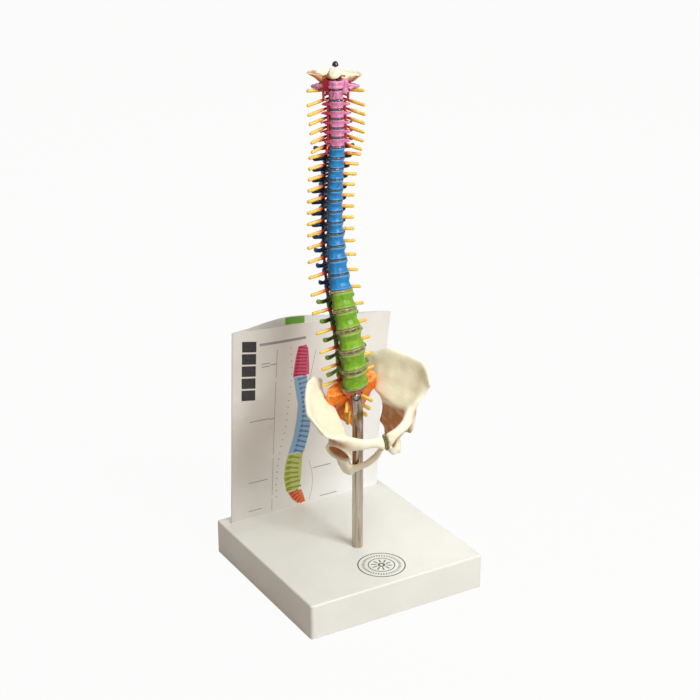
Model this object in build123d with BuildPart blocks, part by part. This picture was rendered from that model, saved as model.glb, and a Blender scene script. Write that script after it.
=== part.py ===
from build123d import *
import math
import os

# Half-size anatomy model of a vertebral column with pelvis, held by a chrome tube on a moulded base,
# with a folded chart card standing in a slot at the back.
# Millimetres, +Z up. The origin is the centre of the base's underside, the model faces -Y and its
# left side is +X.

os.makedirs("parts", exist_ok=True)

# Base
base_width = 180.0
base_depth = 186.0
base_height = 33.0
base_wall = 3.0
base_corner_radius = 3.0
base_edge_radius = 1.6
socket_wall = 4.0
socket_floor = 4.0

# Support tube and its screw
tube_diameter = 10.0
tube_wall = 1.0
tube_x = 0.6
tube_y = -19.2
tube_top = 187.5
scoop_length = 38.0
fit_gap = 0.12
screw_height = 182.0
screw_shank = 2.6
screw_length = 9.0
screw_head = 6.4
screw_head_height = 2.6

# Chart card: one sheet folded at its left edge, so that two leaves stand in the slot
card_left = -80.0
card_width = 163.0
card_top = 231.0
card_thickness = 0.6
card_slot_y = 81.7
card_slot_depth = 12.0
card_slot_gap = 0.4
leaf_gap = 0.5
card_lean = 14.0
card_curl = 22.0
card_bow = 9.0
card_columns = 8
card_rows = [base_height + 66.0, base_height + 132.0]

# Column: points on the axis through the middle of the vertebral bodies, from the sacrum upwards
axis_points = [
    (-1.0, -16.1, 193.2),
    (-7.5, -21.8, 232.7),
    (-10.5, -14.9, 266.0),
    (-10.9, -5.3, 295.4),
    (-10.9, 0.5, 333.8),
    (-10.9, 1.1, 363.0),
    (-10.9, -2.5, 400.5),
    (-10.9, -3.5, 425.6),
    (-10.9, -1.2, 456.3),
    (-10.9, -0.6, 485.0),
]
sacral_slope = 20.0

# Pelvis: where the middle of the sacrum's top lies, and how the whole pelvis leans and turns
pelvis_lean = -13.0
pelvis_turn = -3.0

# Core wire through all the bodies, with its end cap
core_diameter = 2.4
core_channel = 3.6
cap_diameter = 5.6

# Cord, nerve stubs and arteries
cord_diameter = 4.2
nerve_diameter = 2.6
nerve_sides = 5
artery_diameter = 1.7
artery_hole = 2.9
artery_y = 0.4
joint_gap = 0.3

# Facets of bodies and of processes
body_sides = 12
channel_sides = 6
limb_sides = 6


def between(first, last, share):
    return first + (last - first) * share


def oval(width, height, sides, turn=0.5):
    """Corners of an oval, with its flats up, down and to the sides where the count allows."""
    steps = [2 * math.pi * (step + turn) / sides for step in range(sides)]
    return [(width / 2 * math.cos(a), height / 2 * math.sin(a)) for a in steps]


def faceted(sections):
    """A solid through sections, each a plane and its corners, closed with flat facets only."""
    rings = []
    for plane, corners in sections:
        ring = [plane.from_local_coords((x, y)) for x, y in corners]
        if rings:
            starts = [ring[step:] + ring[:step] for step in range(len(ring))]
            ring = min(starts, key=lambda start: sum((a - b).length for a, b in zip(start, rings[-1])))
        rings.append(ring)
    faces = [Face(Wire.make_polygon(rings[0])), Face(Wire.make_polygon(rings[-1]))]
    for low, high in zip(rings, rings[1:]):
        for step in range(len(low)):
            corners = [low[step], low[step - 1], high[step - 1], high[step]]
            if (corners[0] - corners[2]).length > (corners[1] - corners[3]).length:
                corners = corners[1:] + corners[:1]
            faces.append(Face(Wire.make_polygon(corners[:3])))
            faces.append(Face(Wire.make_polygon([corners[0], corners[2], corners[3]])))
    with BuildPart() as shape:
        add(Solid(Shell(faces)))
    return shape.part


def limb(stations, sides=limb_sides):
    """A process or ramus: ovals joined through (centre, facing, width, height), width along X."""
    sections = []
    for centre, facing, width, height in stations:
        facing = Vector(*facing).normalized()
        side = Vector(1, 0, 0) if abs(facing.X) < 0.8 else Vector(0, 1, 0)
        sections.append((Plane(origin=centre, x_dir=side, z_dir=facing), oval(width, height, sides)))
    return faceted(sections)


def channel(diameter, length):
    """The straight-sided channel for the core wire, along Z."""
    with BuildPart() as shape:
        with BuildSketch(Plane.XY.offset(-length / 2)):
            Polygon(*oval(diameter, diameter, channel_sides), align=None)
        extrude(amount=length)
    return shape.part


# The sizes of the vertebrae at the key levels, and straight grades between them.
# rise is a vertebra with the disc under it. Reaches are from the middle of the body.
key_sizes = {
    "C3": dict(rise=7.6, disc=1.7, width=12.0, depth=9.0, waist=0.94, canal=7.4, pedicle=2.4, lamina=1.9,
               side_reach=12.0, side_back=2.6, side_rise=0.1, side_root=2.6, side_tip=2.2,
               spine_reach=7.0, spine_drop=2.0, spine_root=3.6, spine_tip=2.2, spine_thick=3.0,
               nerve_reach=24.0, nerve_back=-3.4),
    "C7": dict(rise=8.0, disc=1.7, width=13.2, depth=9.6, waist=0.94, canal=7.4, pedicle=2.6, lamina=2.0,
               side_reach=15.0, side_back=4.0, side_rise=0.2, side_root=2.8, side_tip=2.4,
               spine_reach=12.5, spine_drop=4.0, spine_root=4.0, spine_tip=3.0, spine_thick=2.8,
               nerve_reach=22.0, nerve_back=0.4),
    "T1": dict(rise=9.4, disc=1.5, width=14.6, depth=10.6, waist=0.9, canal=7.4, pedicle=3.0, lamina=2.2,
               side_reach=18.0, side_back=7.5, side_rise=2.0, side_root=4.0, side_tip=4.2,
               spine_reach=13.0, spine_drop=6.5, spine_root=5.0, spine_tip=3.4, spine_thick=2.6,
               nerve_reach=23.0, nerve_back=4.4),
    "T8": dict(rise=9.9, disc=1.5, width=15.6, depth=14.0, waist=0.9, canal=7.2, pedicle=3.0, lamina=2.2,
               side_reach=16.6, side_back=11.0, side_rise=2.6, side_root=4.4, side_tip=4.4,
               spine_reach=13.0, spine_drop=11.0, spine_root=5.0, spine_tip=3.2, spine_thick=2.4,
               nerve_reach=23.0, nerve_back=7.0),
    "T12": dict(rise=14.6, disc=2.0, width=21.0, depth=16.4, waist=0.89, canal=8.2, pedicle=3.4, lamina=2.6,
                side_reach=13.5, side_back=12.5, side_rise=2.6, side_root=5.4, side_tip=4.6,
                spine_reach=12.0, spine_drop=4.0, spine_root=8.0, spine_tip=6.4, spine_thick=2.6,
                nerve_reach=25.0, nerve_back=9.0),
    "L1": dict(rise=17.0, disc=2.4, width=22.6, depth=17.4, waist=0.88, canal=8.6, pedicle=3.8, lamina=2.8,
               side_reach=18.5, side_back=12.5, side_rise=2.6, side_root=4.8, side_tip=3.4,
               spine_reach=12.0, spine_drop=3.0, spine_root=9.0, spine_tip=9.6, spine_thick=2.8,
               nerve_reach=26.0, nerve_back=11.0),
    "L5": dict(rise=19.4, disc=3.2, width=26.0, depth=19.0, waist=0.9, canal=9.0, pedicle=5.0, lamina=3.0,
               side_reach=21.0, side_back=11.5, side_rise=2.0, side_root=5.4, side_tip=3.8,
               spine_reach=10.0, spine_drop=3.0, spine_root=8.0, spine_tip=6.6, spine_thick=3.0,
               nerve_reach=26.0, nerve_back=11.0),
}
regions = [("C", 3, 7, "C3", "C7"), ("T", 1, 8, "T1", "T8"), ("T", 9, 12, "T8", "T12"), ("L", 1, 5, "L1", "L5")]
axis_rise = 8.6
atlas_rise = 10.4
disc_overhang = 1.035
neck_turn = {"T3": -3, "T2": -6, "T1": -12, "C7": -16, "C6": -20, "C5": -23, "C4": -25, "C3": -26,
             "C2": -28, "C1": -29, "skull": -30}


def level_sizes():
    """Sizes of C3 to L5, graded between the key levels."""
    sizes = {}
    for letter, first, last, low_key, high_key in regions:
        start = int(low_key[1:])
        for number in range(first, last + 1):
            share = (number - start) / (last - start)
            low, high = key_sizes[low_key], key_sizes[high_key]
            sizes[f"{letter}{number}"] = {name: between(low[name], high[name], share) for name in low}
    return sizes


sizes = level_sizes()
levels = list(sizes)

# Where the pelvis stands, and the direction in which the sacrum's top faces
sacrum_top = Vector(*axis_points[0])
pelvis_place = (
    Location(sacrum_top) * Location((0, 0, 0), (0, 0, pelvis_turn)) * Location((0, 0, 0), (0, pelvis_lean, 0))
)
slope = math.radians(sacral_slope)
sacrum_facing = (
    pelvis_place.position
    - (pelvis_place * Location((0, math.sin(slope), -math.cos(slope)))).position
)

with BuildLine() as column_axis:
    Spline(*axis_points, tangents=[sacrum_facing, (0, 0, 1)])


def axis_point(height):
    """The point on the column's axis at this distance above the sacrum."""
    return column_axis.edge().position_at(height, position_mode=PositionMode.LENGTH)


def upright(low, high):
    """A frame midway between two points, with Z towards the upper one and X to the model's left."""
    up = (high - low).normalized()
    back = up.cross(Vector(1, 0, 0)).normalized()
    return Plane(origin=(low + high) / 2, x_dir=back.cross(up), z_dir=up)


# Each body stands between two points of the axis, and a disc fills the wedge down to the next body.
body_frames = {}
body_heights = {}


def turned(frame, level):
    """The frame, turned about its own upright by what the neck is twisted at that level."""
    return frame.rotated((0, 0, neck_turn.get(level, 0)))


height = 0.0
for level in reversed(levels):
    height += sizes[level]["disc"]
    low = axis_point(height)
    height += sizes[level]["rise"] - sizes[level]["disc"]
    high = axis_point(height)
    body_frames[level] = turned(upright(low, high), level)
    body_heights[level] = (high - low).length
axis_disc = sizes["C3"]["disc"]
height += axis_disc
low = axis_point(height)
height += axis_rise - axis_disc
body_frames["C2"] = turned(upright(low, axis_point(height)), "C2")
body_heights["C2"] = (axis_point(height) - low).length
low = axis_point(height)
height += atlas_rise
body_frames["C1"] = turned(upright(low, axis_point(height)), "C1")
skull_upright = upright(axis_point(height), axis_point(height + atlas_rise))
skull_frame = turned(Plane(origin=axis_point(height), x_dir=skull_upright.x_dir,
                           z_dir=skull_upright.z_dir), "skull")


def body_outline(width, depth):
    """Corners of a vertebral body seen from above: round in front, flatter towards the canal."""
    points = []
    for x, y in oval(width, depth, body_sides):
        points.append((x, y if y < 0 else y * 0.8))
    return points


def body_back(size):
    """How far behind the middle of the body its rear face lies."""
    return size["depth"] / 2 * 0.8


def body_block(size, tall):
    """The waisted body, with its channel for the core wire."""
    lip = 0.12 * tall
    with BuildPart() as block:
        for at, share in ((-tall / 2, 1.0), (-tall / 2 + lip, 0.985), (0, size["waist"]),
                          (tall / 2 - lip, 0.985), (tall / 2, 1.0)):
            with BuildSketch(Plane.XY.offset(at)):
                Polygon(*body_outline(size["width"] * share, size["depth"] * share), align=None)
        loft(ruled=True)
        add(channel(core_channel, tall * 1.2), mode=Mode.SUBTRACT)
    return block.part


def arch_half(size, tall):
    """The limbs of one side of the neural arch, from the pedicle round to the lamina."""
    back = body_back(size)
    canal, lamina, pedicle = size["canal"], size["lamina"], size["pedicle"]
    root_x = canal / 2 + pedicle / 2
    pillar_y = back + canal * 0.72
    plate_y = back + canal + lamina / 2
    upper_tip = tall / 2 + size["disc"] + 0.15 * tall - joint_gap
    lower_tip = -tall / 2 - size["disc"] / 2
    side_x, side_y, side_z = size["side_reach"], size["side_back"], size["side_rise"]
    pedicle_bar = limb([
        ((root_x, back - 1.2, 0.22 * tall), (0, 1, 0), pedicle, 0.42 * tall),
        ((root_x, pillar_y, 0.2 * tall), (0, 1, 0), pedicle * 1.1, 0.44 * tall),
    ])
    lamina_plate = limb([
        ((root_x, pillar_y - lamina * 0.6, 0.12 * tall), (-1, 1, 0), lamina * 1.3, 0.56 * tall),
        ((-0.2, plate_y, -0.05 * tall), (-1, 0.1, 0), lamina * 1.2, 0.62 * tall),
    ])
    upper_joint = limb([
        ((root_x, pillar_y, 0.1 * tall), (0, 0, 1), pedicle * 1.1, lamina),
        ((root_x, pillar_y + 0.1, upper_tip), (0, 0, 1), pedicle * 0.95, lamina * 0.8),
    ])
    lower_joint = limb([
        ((root_x * 0.8, pillar_y + lamina, 0.1 * tall), (0, 0, -1), pedicle, lamina),
        ((root_x * 0.95, pillar_y + lamina * 0.9 + joint_gap, lower_tip), (0, 0, -1),
         pedicle * 0.8, lamina * 0.7),
    ])
    side_process = limb([
        ((canal / 2, pillar_y - 0.4, 0.16 * tall), (1, 0.2, 0), lamina * 1.5, size["side_root"]),
        ((side_x * 0.72, between(pillar_y, side_y, 0.7), 0.6 * side_z), (1, 0.2, 0),
         lamina * 1.1, size["side_tip"] * 0.72),
        ((side_x - 0.8, side_y, side_z), (1, 0.2, 0), lamina * 1.3, size["side_tip"]),
        ((side_x, side_y + 0.2, side_z), (1, 0.2, 0), lamina * 0.8, size["side_tip"] * 0.6),
    ])
    return [pedicle_bar, lamina_plate, upper_joint, lower_joint, side_process]


def both_sides(pieces):
    """The pieces of the left side, and their mirror images on the right."""
    return [*pieces, *[piece.mirror(Plane.YZ) for piece in pieces]]


def spinous(size):
    """The spinous process: its side profile, extruded to its thickness."""
    root_y = body_back(size) + size["canal"] + size["lamina"] * 0.2
    tip_y = root_y + size["spine_reach"]
    drop = size["spine_drop"]
    root, tip = size["spine_root"], size["spine_tip"]
    with BuildPart() as blade:
        with BuildSketch(Plane.YZ):
            Polygon((root_y, root * 0.45), (tip_y - 1, -drop + tip / 2), (tip_y, -drop + tip * 0.2),
                    (tip_y - 0.4, -drop - tip * 0.4), (tip_y - 2, -drop - tip / 2), (root_y, -root * 0.55),
                    align=None)
        extrude(amount=size["spine_thick"] / 2, both=True)
    return blade.part


def artery_place(size):
    """How far to the side the artery runs through a cervical transverse process."""
    return size["width"] / 2 + artery_hole / 2 - 0.4


def artery_bars(size, tall):
    """Front bars of the cervical transverse processes."""
    hole_x = artery_place(size)
    with BuildPart() as bars:
        with BuildSketch(Plane.XY.offset(-0.12 * tall)):
            with Locations((hole_x - 0.6, artery_y), (0.6 - hole_x, artery_y)):
                Rectangle(artery_hole + 4.6, artery_hole + 2.6)
        extrude(amount=0.42 * tall)
    return bars.part


def artery_holes(size, tall):
    """The holes for the arteries, right through the transverse processes."""
    hole_x = artery_place(size)
    with BuildPart() as holes:
        with BuildSketch(Plane.XY.offset(-tall)):
            with Locations((hole_x, artery_y), (-hole_x, artery_y)):
                Polygon(*oval(artery_hole, artery_hole, 8), align=None)
        extrude(amount=2 * tall)
    return holes.part


def vertebra(level):
    """One of the vertebrae from C3 to L5, in its own frame."""
    size, tall = sizes[level], body_heights[level]
    with BuildPart() as bone:
        add([body_block(size, tall), spinous(size), *both_sides(arch_half(size, tall))])
        if level[0] == "C":
            add(artery_bars(size, tall))
            add(artery_holes(size, tall), mode=Mode.SUBTRACT)
            add(channel(core_channel, 2 * tall), mode=Mode.SUBTRACT)
    return bone.part


def finish(shape, name, place=None):
    """Sets a finished piece in its place, names it and writes it."""
    piece = shape.moved(place) if place else shape
    piece.label = name
    export_step(piece, f"parts/{name}.step")


for level in levels:
    finish(vertebra(level), f"vertebra_{level.lower()}", Location(body_frames[level]))

# Discs: each fills the wedge between two bodies
sacrum_frame = Plane(origin=sacrum_top, x_dir=upright(sacrum_top, sacrum_top + sacrum_facing).x_dir,
                     z_dir=sacrum_facing)
sacrum_size = dict(sizes["L5"], width=25.4, depth=18.4)
axis_size = dict(sizes["C3"], width=12.6, depth=9.2, rise=axis_rise, spine_reach=9.5, spine_drop=1.5,
                 spine_root=5.0, spine_tip=4.2, spine_thick=4.4, side_reach=11.0, side_root=2.6,
                 side_back=3.4, side_rise=-0.6)
bulge_level = "L3"


def disc(upper_size, upper_plane, lower_size, lower_plane, bulge=False):
    """A disc between two bodies, with the core wire's channel, and a prolapse where one is wanted."""
    with BuildPart() as pad:
        add(faceted([(plane, body_outline(size["width"] * disc_overhang, size["depth"] * disc_overhang))
                     for size, plane in ((lower_size, lower_plane), (upper_size, upper_plane))]))
        middle = Plane(origin=(upper_plane.origin + lower_plane.origin) / 2,
                       x_dir=upper_plane.x_dir, z_dir=upper_plane.z_dir)
        if bulge:
            add(limb([((-6.5, 5.0, 0.4), (-1, 1, 0), 6.0, 2.0), ((-9.0, 8.0, 0.6), (-1, 1, 0), 4.6, 2.4),
                      ((-10.6, 9.6, 0.7), (-1, 1, 0), 2.6, 1.6)], sides=8).moved(Location(middle)))
        add(channel(core_channel, 3 * upper_size["disc"]).moved(Location(middle)), mode=Mode.SUBTRACT)
    return pad.part


stack = ["C2", *levels]
stack_sizes = {"C2": axis_size, **sizes}
for upper, lower in zip(stack, stack[1:]):
    finish(
        disc(stack_sizes[upper], body_frames[upper].offset(-body_heights[upper] / 2),
             stack_sizes[lower], body_frames[lower].offset(body_heights[lower] / 2), upper == bulge_level),
        f"disc_{upper.lower()}_{lower.lower()}",
    )
lowest_disc = disc(sizes["L5"], body_frames["L5"].offset(-body_heights["L5"] / 2), sacrum_size, sacrum_frame)
finish(lowest_disc, "disc_l5_s1")

# Axis: a body with shoulders, and the dens that stands up inside the atlas
dens_width = 5.4
dens_rise = 7.6
shoulder_reach = 8.6


def axis_vertebra():
    size, tall = axis_size, body_heights["C2"]
    shoulder = limb([((2.5, -0.4, tall * 0.16), (1, 0, 0), 6.4, tall * 0.5),
                     ((shoulder_reach - 1.4, 0.2, tall * 0.28), (1, 0, 0), 6.0, tall * 0.42),
                     ((shoulder_reach, 0.4, tall * 0.26), (1, 0, 0), 4.0, tall * 0.26)], sides=8)
    pedicle_bar, lamina_plate, _, lower_joint, side_process = arch_half(size, tall)
    with BuildPart() as bone:
        add([body_block(size, tall), spinous(size),
             *both_sides([shoulder, pedicle_bar, lamina_plate, lower_joint, side_process])])
        for at, share in ((tall / 2 - 1, 1.0), (tall / 2 + dens_rise - 1.4, 1.0), (tall / 2 + dens_rise, 0.72)):
            with BuildSketch(Plane.XY.offset(at)):
                Polygon(*oval(dens_width * share, dens_width * share, 8), align=None)
        loft(ruled=True)
        # ridge down the front, below the dens
        with BuildSketch(Plane.XZ.offset(size["depth"] / 2 - 1.2)):
            Polygon((-1.6, tall / 2), (1.6, tall / 2), (2.6, -tall / 2 + 0.3), (-2.6, -tall / 2 + 0.3),
                    align=None)
        extrude(amount=1.7)
        add(channel(core_channel, tall + 2 * dens_rise + 2), mode=Mode.SUBTRACT)
    return bone.part.moved(Location(body_frames["C2"]))


axis_bone = axis_vertebra()
finish(axis_bone, "vertebra_c2")

# Atlas: a ring with two masses that carry the skull, round the dens
ring_width = 20.0
ring_depth = 19.0
ring_middle_y = 3.6
ring_inner = 12.6
ring_inner_y = 2.9
mass_inner_x = 4.6
atlas_reach = 20.2
atlas_hole_x = 12.2


def atlas():
    half = atlas_rise / 2
    mass = limb([((7.4, 0.6, -half), (0, 0, 1), 5.4, 6.0), ((7.6, 0.6, -half + 2.4), (0, 0, 1), 6.6, 8.4),
                 ((7.6, 0.8, half - 2.0), (0, 0, 1), 6.6, 8.8), ((7.2, 0.8, half), (0, 0, 1), 5.0, 7.0)], sides=8)
    side_process = limb([((9.0, 1.2, -0.6), (1, 0.1, 0), 7.6, 5.4), ((15.0, 2.2, -1.2), (1, 0.2, 0), 6.0, 3.8),
                         ((atlas_reach - 1.4, 3.6, -1.8), (1, 0.2, 0), 4.6, 3.4),
                         ((atlas_reach, 3.9, -1.8), (1, 0.2, 0), 2.4, 2.0)])
    front_tubercle = limb([((0, -4.6, 0.8), (0, -1, 0), 7.0, 6.0), ((0, -6.8, 0.6), (0, -1, 0), 3.0, 3.4)])
    rear_tubercle = limb([((0, 11.8, 0.8), (0, 1, 0), 6.0, 3.8), ((0, 14.4, 0.6), (0, 1, 0), 2.6, 2.4)])
    with BuildPart() as bone:
        with BuildSketch(Plane.XY.offset(-1.2)):
            with Locations((0, ring_middle_y)):
                Polygon(*oval(ring_width, ring_depth, 16), align=None)
        extrude(amount=4.4)
        add([*both_sides([mass, side_process]), front_tubercle, rear_tubercle])
        with BuildSketch(Plane.XY.offset(-half - 1)):
            with Locations((0, ring_inner_y)):
                Polygon(*oval(mass_inner_x * 2, ring_inner, 12), align=None)
            with Locations((atlas_hole_x, 1.4), (-atlas_hole_x, 1.4)):
                Polygon(*oval(artery_hole, artery_hole, 8), align=None)
        extrude(amount=atlas_rise + 2, mode=Mode.SUBTRACT)
    with BuildPart() as placed:
        add(bone.part.moved(Location(body_frames["C1"])))
        add(axis_bone, mode=Mode.SUBTRACT)
    return placed.part


atlas_bone = atlas()
finish(atlas_bone, "vertebra_c1")

# Occipital plate: a bowl cut from the base of the skull, notched either side of a blunt tongue
plate_edge = [(5.5, -1.5), (8.5, 1.0), (14.0, -1.5), (19.0, -3.0), (23.5, 0.5), (24.8, 6.0), (23.0, 13.0),
              (17.5, 19.0), (9.5, 23.0), (0.0, 24.5)]
plate_middle_y = 8.0
plate_low = -0.8
plate_rim = 3.4
plate_wall = 1.7
plate_roll = 1.0
tongue_width = 11.6
tongue_height = 8.4
tongue_end = (0, -4.6, 6.6)
tongue_rise = 26.0
skull_hole = 12.6
skull_hole_y = 8.8
skull_place = Location(skull_frame) * Location((0, 0, 0), (0, plate_roll, 0))


def plate_section(height, share):
    """The plate's outline at a height, drawn in towards its middle."""
    left = [(x * share, plate_middle_y + (y - plate_middle_y) * share) for x, y in plate_edge]
    right = [(-x, y) for x, y in reversed(left[:-1])]
    with BuildSketch(Plane.XY.offset(height)) as outline:
        Polygon(*left, *right, align=None)
    return outline.sketch


def occipital_plate():
    rise = math.radians(tongue_rise)
    way = Vector(0, -math.cos(rise), math.sin(rise))
    end = Vector(*tongue_end)
    condyle = limb([((7.2, 0.8, -0.6), (0, 0, 1), 4.6, 6.4), ((7.4, 2.0, plate_low + 1.6), (0, 0, 1), 6.4, 8.4)],
                   sides=8)
    tongue = limb([(end - way * 9.0, way, tongue_width * 1.3, tongue_height * 0.6),
                   (end - way * 5.0, way, tongue_width * 0.9, tongue_height * 0.86),
                   (end - way * 1.0, way, tongue_width, tongue_height),
                   (end, way, tongue_width * 0.84, tongue_height * 0.82)], sides=10)
    with BuildPart() as plate:
        loft([plate_section(plate_low, 0.6), plate_section(plate_rim * 0.45, 0.86),
              plate_section(plate_rim, 1.0)], ruled=True)
        loft([plate_section(plate_low + plate_wall, 0.5), plate_section(plate_rim * 0.5, 0.78),
              plate_section(plate_rim + 0.1, 0.93)], ruled=True, mode=Mode.SUBTRACT)
        add([*both_sides([condyle]), tongue])
        with BuildSketch(Plane.XY.offset(-4)):
            with Locations((0, skull_hole_y)):
                Polygon(*oval(skull_hole, skull_hole * 0.94, 12), align=None)
            Polygon(*oval(core_channel, core_channel, 8), align=None)
        extrude(amount=18, mode=Mode.SUBTRACT)
    with BuildPart() as placed:
        add(plate.part.moved(skull_place))
        add(atlas_bone, mode=Mode.SUBTRACT)
    return placed.part


finish(occipital_plate(), "occipital_plate")

# Sacrum and coccyx, in the pelvis's own frame: (back, up, tilt, width, depth) down its length
sacral_body = [(3.4, -5.2, 36, 21, 15), (8, -11, 46, 19, 13), (16, -20, 38, 16, 11), (21.5, -30, 18, 13, 9),
               (23.5, -40, -4, 10.5, 7.5), (21.5, -48, -22, 8, 5.5), (17.5, -54, -38, 4.5, 3.2)]
sacral_wings = [(7.6, 3.6, 20, 47, 7), (5.5, -1, 28, 53, 12), (9.5, -10.5, 42, 53, 12.5), (16, -20, 36, 46, 10.5),
                (21, -30, 18, 36, 8.5), (23.5, -39, -4, 26, 6.5), (22, -46, -18, 13, 4.5)]
sacral_rear = [(13.0, -1.0, 34, 21, 9), (18.5, -11.5, 36, 18, 9), (23.8, -23, 24, 13, 7), (26, -36, 4, 7, 4)]
sacral_canal = [(11.9, 3.6), (15.2, -9), (20.2, -20.5), (23.2, -31)]
canal_widths = [8.4, 6.6, 5.0, 3.6]
canal_facings = [(0, 0.25, -1), (0, 0.4, -1), (0, 0.35, -1), (0, 0.2, -1)]
canal_mouth = ((0, 9.4, 11.0), (0, 0.3, -1), 7.8, 7.8)
exit_way = (0.56, -0.62, -0.54)
exit_hole = 3.4
exit_stub = 2.3
exit_reach = [0, 24.0, 22.0, 18.0]


def tilted(back, up, tilt):
    """A section plane of the sacrum: its normal leans forward from +Z by the tilt."""
    lean = math.radians(tilt)
    return Plane(origin=(0, back, up), x_dir=(1, 0, 0), z_dir=(0, -math.sin(lean), math.cos(lean)))


def lofted(sections, sides):
    return faceted([(tilted(back, up, tilt), oval(width, depth, sides))
                    for back, up, tilt, width, depth in sections])


def canal_run(share=1.0):
    """Stations down the sacral canal, for the canal itself and for the nerves that lie in it."""
    return [((0, back, up), facing, width * share, width * share)
            for (back, up), facing, width in zip(sacral_canal, canal_facings, canal_widths)]


def sacral_exit(step, diameter, reach, side):
    """A straight bar from the sacral canal out through the front of the sacrum."""
    start = Vector(0, *sacral_canal[step])
    way = Vector(side * exit_way[0], exit_way[1], exit_way[2]).normalized()
    return limb([(start, way, diameter, diameter), (start + way * reach, way, diameter, diameter)])


# Tube seat: the flattened end of the tube lies against a flat on the front of the sacrum
seat_y = tube_y + tube_diameter / 2
seat_width = tube_diameter + 2.0


def sacrum():
    """The sacrum with its coccyx, standing in the column."""
    size = sizes["L5"]
    root_x = size["canal"] / 2 + size["pedicle"] / 2
    pillar_y = body_back(size) + size["canal"] * 0.72
    top = Location(tilted(0, 0, sacral_slope))
    joint = limb([((root_x, pillar_y, -6.0), (0, 0, 1), size["pedicle"] * 1.2, size["lamina"] * 1.2),
                  ((root_x, pillar_y + 0.1, size["disc"] + 0.15 * body_heights["L5"] - joint_gap), (0, 0, 1),
                   size["pedicle"] * 0.95, size["lamina"] * 0.8)])
    with BuildPart() as bone:
        add(faceted([(tilted(0, 0, sacral_slope), body_outline(sacrum_size["width"], sacrum_size["depth"])),
                     (tilted(4.2, -6.2, 40), body_outline(20, 14.4))]))
        add([lofted(sacral_body, 10), lofted(sacral_wings, 12), lofted(sacral_rear, 8),
             *[piece.moved(top) for piece in both_sides([joint])]])
        add(limb([canal_mouth, *canal_run()], sides=8), mode=Mode.SUBTRACT)
        add([sacral_exit(step, exit_hole, 30, side) for step in (1, 2, 3) for side in (1, -1)],
            mode=Mode.SUBTRACT)
        add(channel(core_channel, 10).moved(top), mode=Mode.SUBTRACT)
    with BuildPart() as seated:
        add(bone.part.moved(pelvis_place))
        add(lowest_disc, mode=Mode.SUBTRACT)
        with BuildSketch(Plane.XZ.offset(-seat_y)):
            with Locations((tube_x, tube_top)):
                Rectangle(seat_width, 44, align=(Align.CENTER, Align.MAX))
        extrude(amount=40, mode=Mode.SUBTRACT)
        with BuildSketch(Plane.XZ.offset(-seat_y)):
            with Locations((tube_x, screw_height)):
                Circle(screw_shank / 2 + fit_gap)
        extrude(amount=-(screw_length - tube_wall * 2), mode=Mode.SUBTRACT)
    return seated.part


sacrum_bone = sacrum()
finish(sacrum_bone, "sacrum_coccyx")

# Hip bones: the left one, in the pelvis's frame. Each rib of the wing runs from its lower edge to
# the crest, and the ribs follow one another from front to back.
wing_ribs = [
    ((41.5, -36.0, -22.0), (55.5, -40.0, -8.0)),
    ((36.5, -32.5, -25.0), (58.5, -34.0, 2.0)),
    ((32.5, -27.0, -27.5), (60.0, -25.0, 8.0)),
    ((28.8, -18.5, -27.0), (53.2, -10.2, 13.0)),
    ((26.0, -8.5, -24.0), (42.2, 5.0, 19.5)),
    ((23.5, 4.0, -18.5), (29.8, 17.0, 16.5)),
    ((21.0, 15.0, -14.0), (19.5, 26.0, 6.0)),
]
rib_feet = [6.5, 8.0, 8.5, 8.0, 7.5, 7.0, 5.0]
wing_thickness = 3.0
crest_thickness = 4.6
fossa_depth = 2.4
# Below the wing the bone goes on as level sections: five points inside, five outside, front to back
# and forward again
seat_sections = [
    (-22, [(37.5, -37), (32.5, -28), (28, -18), (24.5, -8), (22, 1.5), (27, 4), (32, -4), (37, -14), (42.5, -24.5),
           (44, -37)]),
    (-29, [(35, -35.5), (31.5, -28), (28, -18), (24.5, -8), (22, 1.5), (28, 4), (33, -2), (40, -11), (43, -22),
           (39, -34)]),
    (-37, [(32.5, -34.5), (30.5, -27), (27.5, -17), (24.5, -7), (21.5, 3), (27, 6), (33, 0), (40, -9), (42, -20),
           (36.5, -33)]),
    (-45, [(31, -31.5), (29.5, -24), (27, -15), (24, -5), (19.5, 6.5), (25, 8.5), (32, 3), (38, -6), (40, -16),
           (34, -30)]),
    (-50, [(30, -26.5), (28.5, -20), (26, -12), (23.5, -3), (18.5, 8.5), (22, 10.5), (30, 5), (35.5, -2),
           (37, -12), (33, -24)]),
    (-56, [(29.5, -19), (27.5, -14.5), (25, -8), (23, -1), (21, 5), (25, 9), (30, 6.5), (33.5, 0), (35, -8),
           (32.5, -16)]),
    (-66, [(26.5, -9), (24, -6), (21.5, -1), (20.5, 4), (22, 10), (25.5, 13), (29.5, 11), (31.5, 5), (32, -1),
           (29.5, -7)]),
    (-75, [(26, -10), (23.5, -8), (22.2, -3), (22.2, 3), (22.8, 9.5), (25, 12.5), (28.5, 10.5), (30.5, 4),
           (30, -3), (28, -8.5)]),
    (-81, [(25, -9.5), (24, -8), (23.3, -4), (23.3, 1), (23.8, 5.5), (25.3, 7.5), (27.5, 6), (29, 1.5),
           (28.5, -4), (27, -8)]),
]
socket_middle = (37.4, -21.5, -43.0)
socket_facing = (0.82, -0.42, -0.38)
socket_diameter = 22.0
socket_rim = 27.0
socket_depth = 9.0
pubis_x = 1.5
pubis_y = -41.0
pubis_z = -42.0
pubis_depth = 6.0
pubis_height = 17.0


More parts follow.
